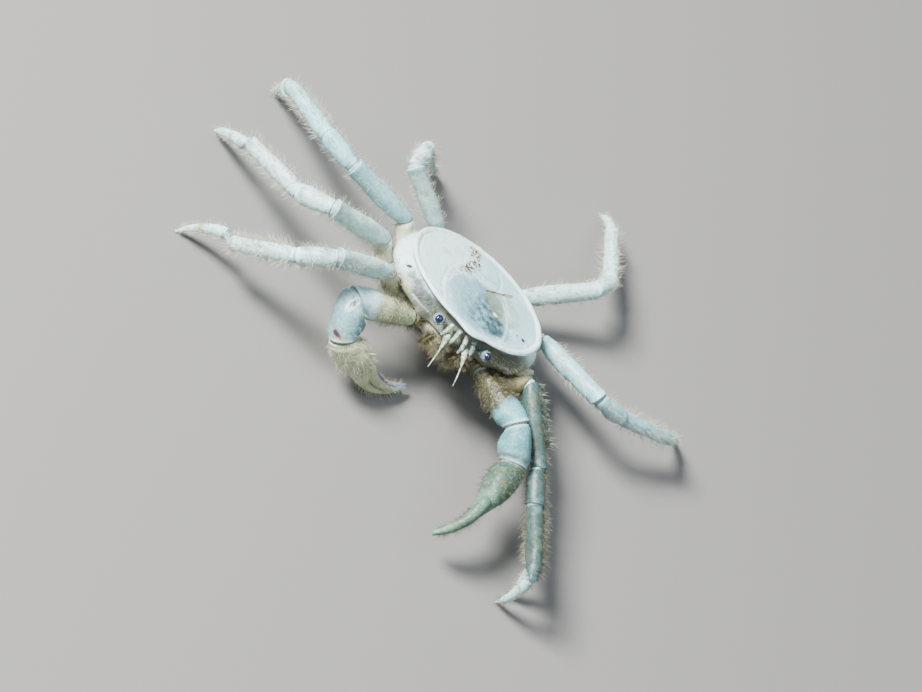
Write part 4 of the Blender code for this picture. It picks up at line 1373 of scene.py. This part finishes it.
def make_antenna(side):
    antenna = read_bow(f"antenna_{side}", BODY @ Vector((0, 0, -1.2)), 10, 0.0)
    rings = []
    for k in range(121):
        place = k / 120
        annuli = 1 - 0.14 * soft_step(0.48, 0.52, place) * (0.5 + 0.5 * math.cos(place * 170))
        rings.append(antenna.ring(place, profile(ANTENNA_SWELL, place, 1)[0] * annuli, FEELER_SIDES))
    cast(antenna.name + "_whip", rings, FEELER, "feeler", [antenna.name])
    return antenna


def make_rod(name, sign, points, girths, material, slot):
    """A short tapering rod, pinched at its joints, such as an antennule or a palp."""
    controls = [mirrored(sign, point) for point in points]
    rod = Bow(name, controls, [(size, size) for size in girths], None, 0.0)
    rings = [rod.ring(k / 36, 1 - 0.22 * valley(k % 12 - 6, 1.0), FEELER_SIDES) for k in range(37)]
    cast(name, rings, material, slot)
    return rod


FEELER = feeler_finish()
antennae = [make_antenna(side) for side in SIDES]
for feeler_side, feeler_sign in SIDES.items():
    for number, path in enumerate(ANTENNULES, 1):
        make_rod(f"antennule_{number}_{feeler_side}", feeler_sign, path, ANTENNULE_GIRTH, FEELER, "feeler")


# The mouth: the two outer maxillipeds, jointed plates that close over it like doors, each with a short
# folded palp at its upper corner and a slender outer branch beside it.
DOOR_PATH = ((0.58, -3.28, -2.97, 0.62), (0.60, -3.40, -2.75, 0.95), (0.60, -3.49, -2.45, 1.02),
             (0.60, -3.50, -2.15, 1.0), (0.58, -3.49, -1.90, 0.86), (0.57, -3.46, -1.76, 0.6))
DOOR_HALF_WIDTH = 0.43
DOOR_HALF_DEPTH = 0.27
DOOR_SIDES = 32
RODS = {
    "palp": (((0.62, -3.66, -1.86), (0.46, -3.86, -1.94), (0.34, -3.90, -2.16), (0.30, -3.84, -2.40)),
             (0.13, 0.13, 0.10, 0.05)),
    "branch": (((1.08, -3.16, -2.90), (1.14, -3.32, -2.50), (1.12, -3.38, -2.10), (1.00, -3.42, -1.80)),
               (0.12, 0.12, 0.10, 0.05)),
}


def make_mouth(side, sign):
    """One outer maxilliped. Returns its palp and its branch, for the hairs."""
    rings = []
    for k in range(41):
        x, y, z, share = between_rows(DOOR_PATH, k / 40 * (len(DOOR_PATH) - 1))
        share *= 1 - 0.14 * valley(k - 24, 1.2)
        ring = []
        for turn in range(DOOR_SIDES):
            angle = 2 * math.pi * turn / DOOR_SIDES
            square = 0.88 + 0.12 * (1 - abs(math.cos(2 * angle)))
            wide, deep = DOOR_HALF_WIDTH * share * square, DOOR_HALF_DEPTH * share * square
            ring.append(Vector((sign * (x + wide * math.cos(angle)), y + deep * math.sin(angle), z)))
        rings.append(ring)
    name = f"maxilliped_{side}"
    cast(name + "_door", rings, MOUTH_SHADED, "underside", [name], BODY)
    return [make_rod(f"{name}_{part}", sign, *shape, MOUTH_SHADED, "underside") for part, shape in RODS.items()]


mouth = {side: make_mouth(side, sign) for side, sign in SIDES.items()}


# The setae: fine stiff hairs in the shell of every limb, each set singly at its root and leaning towards
# the limb's tip. They are drawn nylon, pale on most legs, and longer and olive under the front, that olive
# partly painted shade.
SETA_SIDES = 3
SETA_STATIONS = ((0.0, 1.0), (0.35, 0.8), (0.7, 0.48), (1.0, 0.10))
SETA_RADIUS = 0.0105
SETA_LEAN = 0.3
HAIR_CEILING = 7.1
PATCH_WIDTH = 0.003
LEG_SETAE = {"merus": 300, "carpus": 160, "propodus": 430, "dactyl": 170}
LEG_REACH = {"merus": 0.38, "carpus": 0.38, "propodus": 0.48, "dactyl": 0.28}
HAIRIEST_LEG = "1_right"
WALL_SETAE = 1500
WALL_BULGE = ((0.5, 0.45), (0.75, 0.83), (1.02, 1.0), (1.3, 0.88))
HAIR_PALE = (0.66, 0.70, 0.60)
HAIR_BEIGE = (0.40, 0.37, 0.23)
HAIR_OLIVE = (0.09, 0.08, 0.035)


def hair_finish(name, pale, dark):
    material, shader, place = start_finish(name)
    set_finish(shader, place.attribute("shade").mix(dark, pale), 0.5)
    return material


def seta_template():
    """The corners and faces of one tapered, three-sided hair of unit length and unit root radius."""
    rings = []
    for height, radius in SETA_STATIONS:
        angles = [2 * math.pi * k / SETA_SIDES for k in range(SETA_SIDES)]
        rings.append([Vector((radius * math.cos(a), radius * math.sin(a), height)) for a in angles])
    bm = bmesh.new()
    loft(bm, rings)
    bmesh.ops.recalc_face_normals(bm, faces=bm.faces)
    bmesh.ops.triangulate(bm, faces=bm.faces)
    bm.verts.index_update()
    corners = np.array([vert.co for vert in bm.verts])
    faces = np.array([[vert.index for vert in face.verts] for face in bm.faces])
    bm.free()
    return corners, faces


class Coat:
    """Collects hairs, each with its root, its direction, its length and its root's place on the skin."""

    def __init__(self, seed):
        self.dice = random.Random(seed)
        self.rows = []

    def add(self, root, outward, along, length, spot):
        dice = self.dice
        wild = Vector((dice.gauss(0, 1), dice.gauss(0, 1), dice.gauss(0, 1))) * 0.22
        way = (outward + along * SETA_LEAN * dice.uniform(0.5, 1.3) + wild).normalized()
        bend = (along * 0.5 + wild - outward * 0.25) * dice.uniform(0.2, 0.9)
        length = length * dice.uniform(0.55, 1.35)
        thick = SETA_RADIUS * dice.uniform(0.75, 1.2)
        if root.z + (way.z + max(0.0, bend.z)) * length > HAIR_CEILING:
            return
        fork = (*(root - outward * 0.02), *way, *(bend * length))
        self.rows.append((*fork, length, thick, *spot, dice.random()))

    def cover(self, limb, count, reach, low=0.03, high=0.97, around=None, spread=math.pi, shelf=0.0):
        """Sets hairs over a limb, all round it or round one angle, and notes their places on its skin."""
        for _ in range(count):
            place = self.dice.uniform(low, high)
            angle = self.dice.uniform(-math.pi, math.pi)
            if around is not None:
                angle = around + self.dice.gauss(0, spread)
            root = limb.point(place, angle)
            if root.z < 0.15:
                continue
            along, across, deep = limb.axes(place)
            outward = (across * math.cos(angle) + deep * math.sin(angle)).normalized()
            spot = (0.02 + 0.2 * shelf + 0.16 * place, 0.1 + 0.8 * (angle / (2 * math.pi) % 1.0))
            self.add(root, outward, along, reach, spot)

    def finish(self, name, material, slot):
        """Copies the single hair to every root in one mesh, and unwraps each onto its own small patch."""
        corners, faces = SETA
        rows = np.array(self.rows)
        root, way, bend = rows[:, None, 0:3], rows[:, None, 3:6], rows[:, None, 6:9]
        length, thick, shade = rows[:, None, 9:10], rows[:, None, 10:11], rows[:, 13]
        side = np.cross(rows[:, 3:6], (0.31, 0.17, 0.94))
        side = (side / np.linalg.norm(side, axis=1)[:, None])[:, None, :]
        other = np.cross(way, side)
        across, deep, height = (corners[None, :, k:k + 1] for k in range(3))
        spots = root + way * length * height + bend * height ** 2 + (side * across + other * deep) * thick
        spots[:, :, 2] = np.maximum(spots[:, :, 2], 0.01)
        total = len(rows)
        loops = (faces[None] + (np.arange(total) * len(corners))[:, None, None]).reshape(-1)
        mesh = bpy.data.meshes.new(name)
        mesh.vertices.add(total * len(corners))
        mesh.vertices.foreach_set("co", (spots * MM).reshape(-1))
        mesh.loops.add(len(loops))
        mesh.loops.foreach_set("vertex_index", loops)
        mesh.polygons.add(total * len(faces))
        mesh.polygons.foreach_set("loop_start", np.arange(total * len(faces)) * 3)
        mesh.update(calc_edges=True)
        mesh.shade_smooth()
        tone = mesh.attributes.new("shade", "FLOAT", "POINT")
        tone.data.foreach_set("value", np.repeat(shade, len(corners)))
        patch_uv = np.stack([corners[:, 0] * 0.5, corners[:, 2] - 0.5], 1) * PATCH_WIDTH
        uv = rows[:, None, 11:13] + patch_uv[None, :, :]
        layer = mesh.uv_layers.new(name="OFBake")
        layer.data.foreach_set("uv", uv.reshape(-1, 2)[loops].reshape(-1))
        mesh.materials.append(material)
        ride_piece(name, mesh, slot)


def coat_leg(name):
    chain, dactyl = legs[name]
    dense = 1.7 if name == HAIRIEST_LEG else 1.0
    coat = Coat(f"leg {name}")
    for shelf, (part, limb) in enumerate(zip(LEG_SETAE, chain + [dactyl])):
        coat.cover(limb, int(LEG_SETAE[part] * dense), LEG_REACH[part], 0.05, 0.98, shelf=shelf)
    if name[0] != "1":
        coat.cover(roots["leg_" + name], 150, 0.28, 0.02, 0.8, shelf=4)
    coat.finish(f"leg_{name}_setae", OLIVE_SHADED_HAIR if name == "1_left" else PALE_HAIR, "leg")


def coat_claw(side):
    (arm, wrist, palm), fixed, mover = claws[side]
    coat = Coat("claw " + side)
    coat.cover(arm, 420, 0.30, 0.0, 0.72, shelf=0)
    coat.cover(wrist, 160, 0.22, 0.1, 0.95, shelf=1)
    coat.cover(palm, 420, 0.34, 0.05, 0.85, shelf=2)
    coat.cover(fixed, 330, 0.34, 0.15, 0.9, -math.pi / 2, 0.9, 3)
    coat.cover(mover, 160, 0.26, 0.1, 0.9, shelf=4)
    coat.finish(f"claw_{side}_setae", BEIGE_HAIR if side == "right" else OLIVE_SHADED_HAIR, "claw")


def coat_front():
    """The olive fringe under the front: on the roots of the claws, the mouth plates and the feelers."""
    coat = Coat("front")
    for side in SIDES:
        coat.cover(roots["claw_" + side], 420, 0.45, 0.02, 0.8, shelf=0)
        coat.cover(roots["leg_1_" + side], 360, 0.35, 0.02, 0.8, shelf=1)
        for bow in mouth[side]:
            coat.cover(bow, 330, 0.55, shelf=2)
        coat.cover(claws[side][0][0], 300, 0.42, 0.0, 0.5, shelf=3)
    for antenna in antennae:
        coat.cover(antenna, 60, 0.3, 0.1, 0.6, shelf=4)
    coat.finish("front_setae", OLIVE_SHADED_HAIR, "underside")


def coat_wall():
    """Short down on the carapace's side walls."""
    coat = Coat("wall")
    middle = BODY.translation
    turn = BODY.to_3x3()
    for _ in range(WALL_SETAE):
        azimuth = coat.dice.uniform(0, 360)
        level = -0.55 - 0.75 * coat.dice.random()
        spot, outward = wall_point(azimuth, profile(WALL_BULGE, -level, 1)[0], level)
        coat.add(middle + turn @ spot, turn @ outward, turn @ Vector((0, 0, 0.3)), 0.2,
                 (0.05 + 0.9 * azimuth / 360, 0.2 - 0.4 * level))
    coat.finish("carapace_setae", PALE_HAIR, "shell")


SETA = seta_template()
PALE_HAIR = hair_finish("pale_setae", HAIR_PALE, HAIR_BEIGE)
BEIGE_HAIR = hair_finish("beige_setae", tint(HAIR_PALE, 0.9), HAIR_BEIGE)
# The olive hair is partly painted shade: darker hair for the front, the first left leg and the left claw,
# which lie in shade.
OLIVE_SHADED_HAIR = hair_finish("olive_setae", tint(HAIR_BEIGE, 0.5), tint(HAIR_OLIVE, 0.7))
for leg_name in legs:
    coat_leg(leg_name)
for claw_side in claws:
    coat_claw(claw_side)
coat_front()
coat_wall()
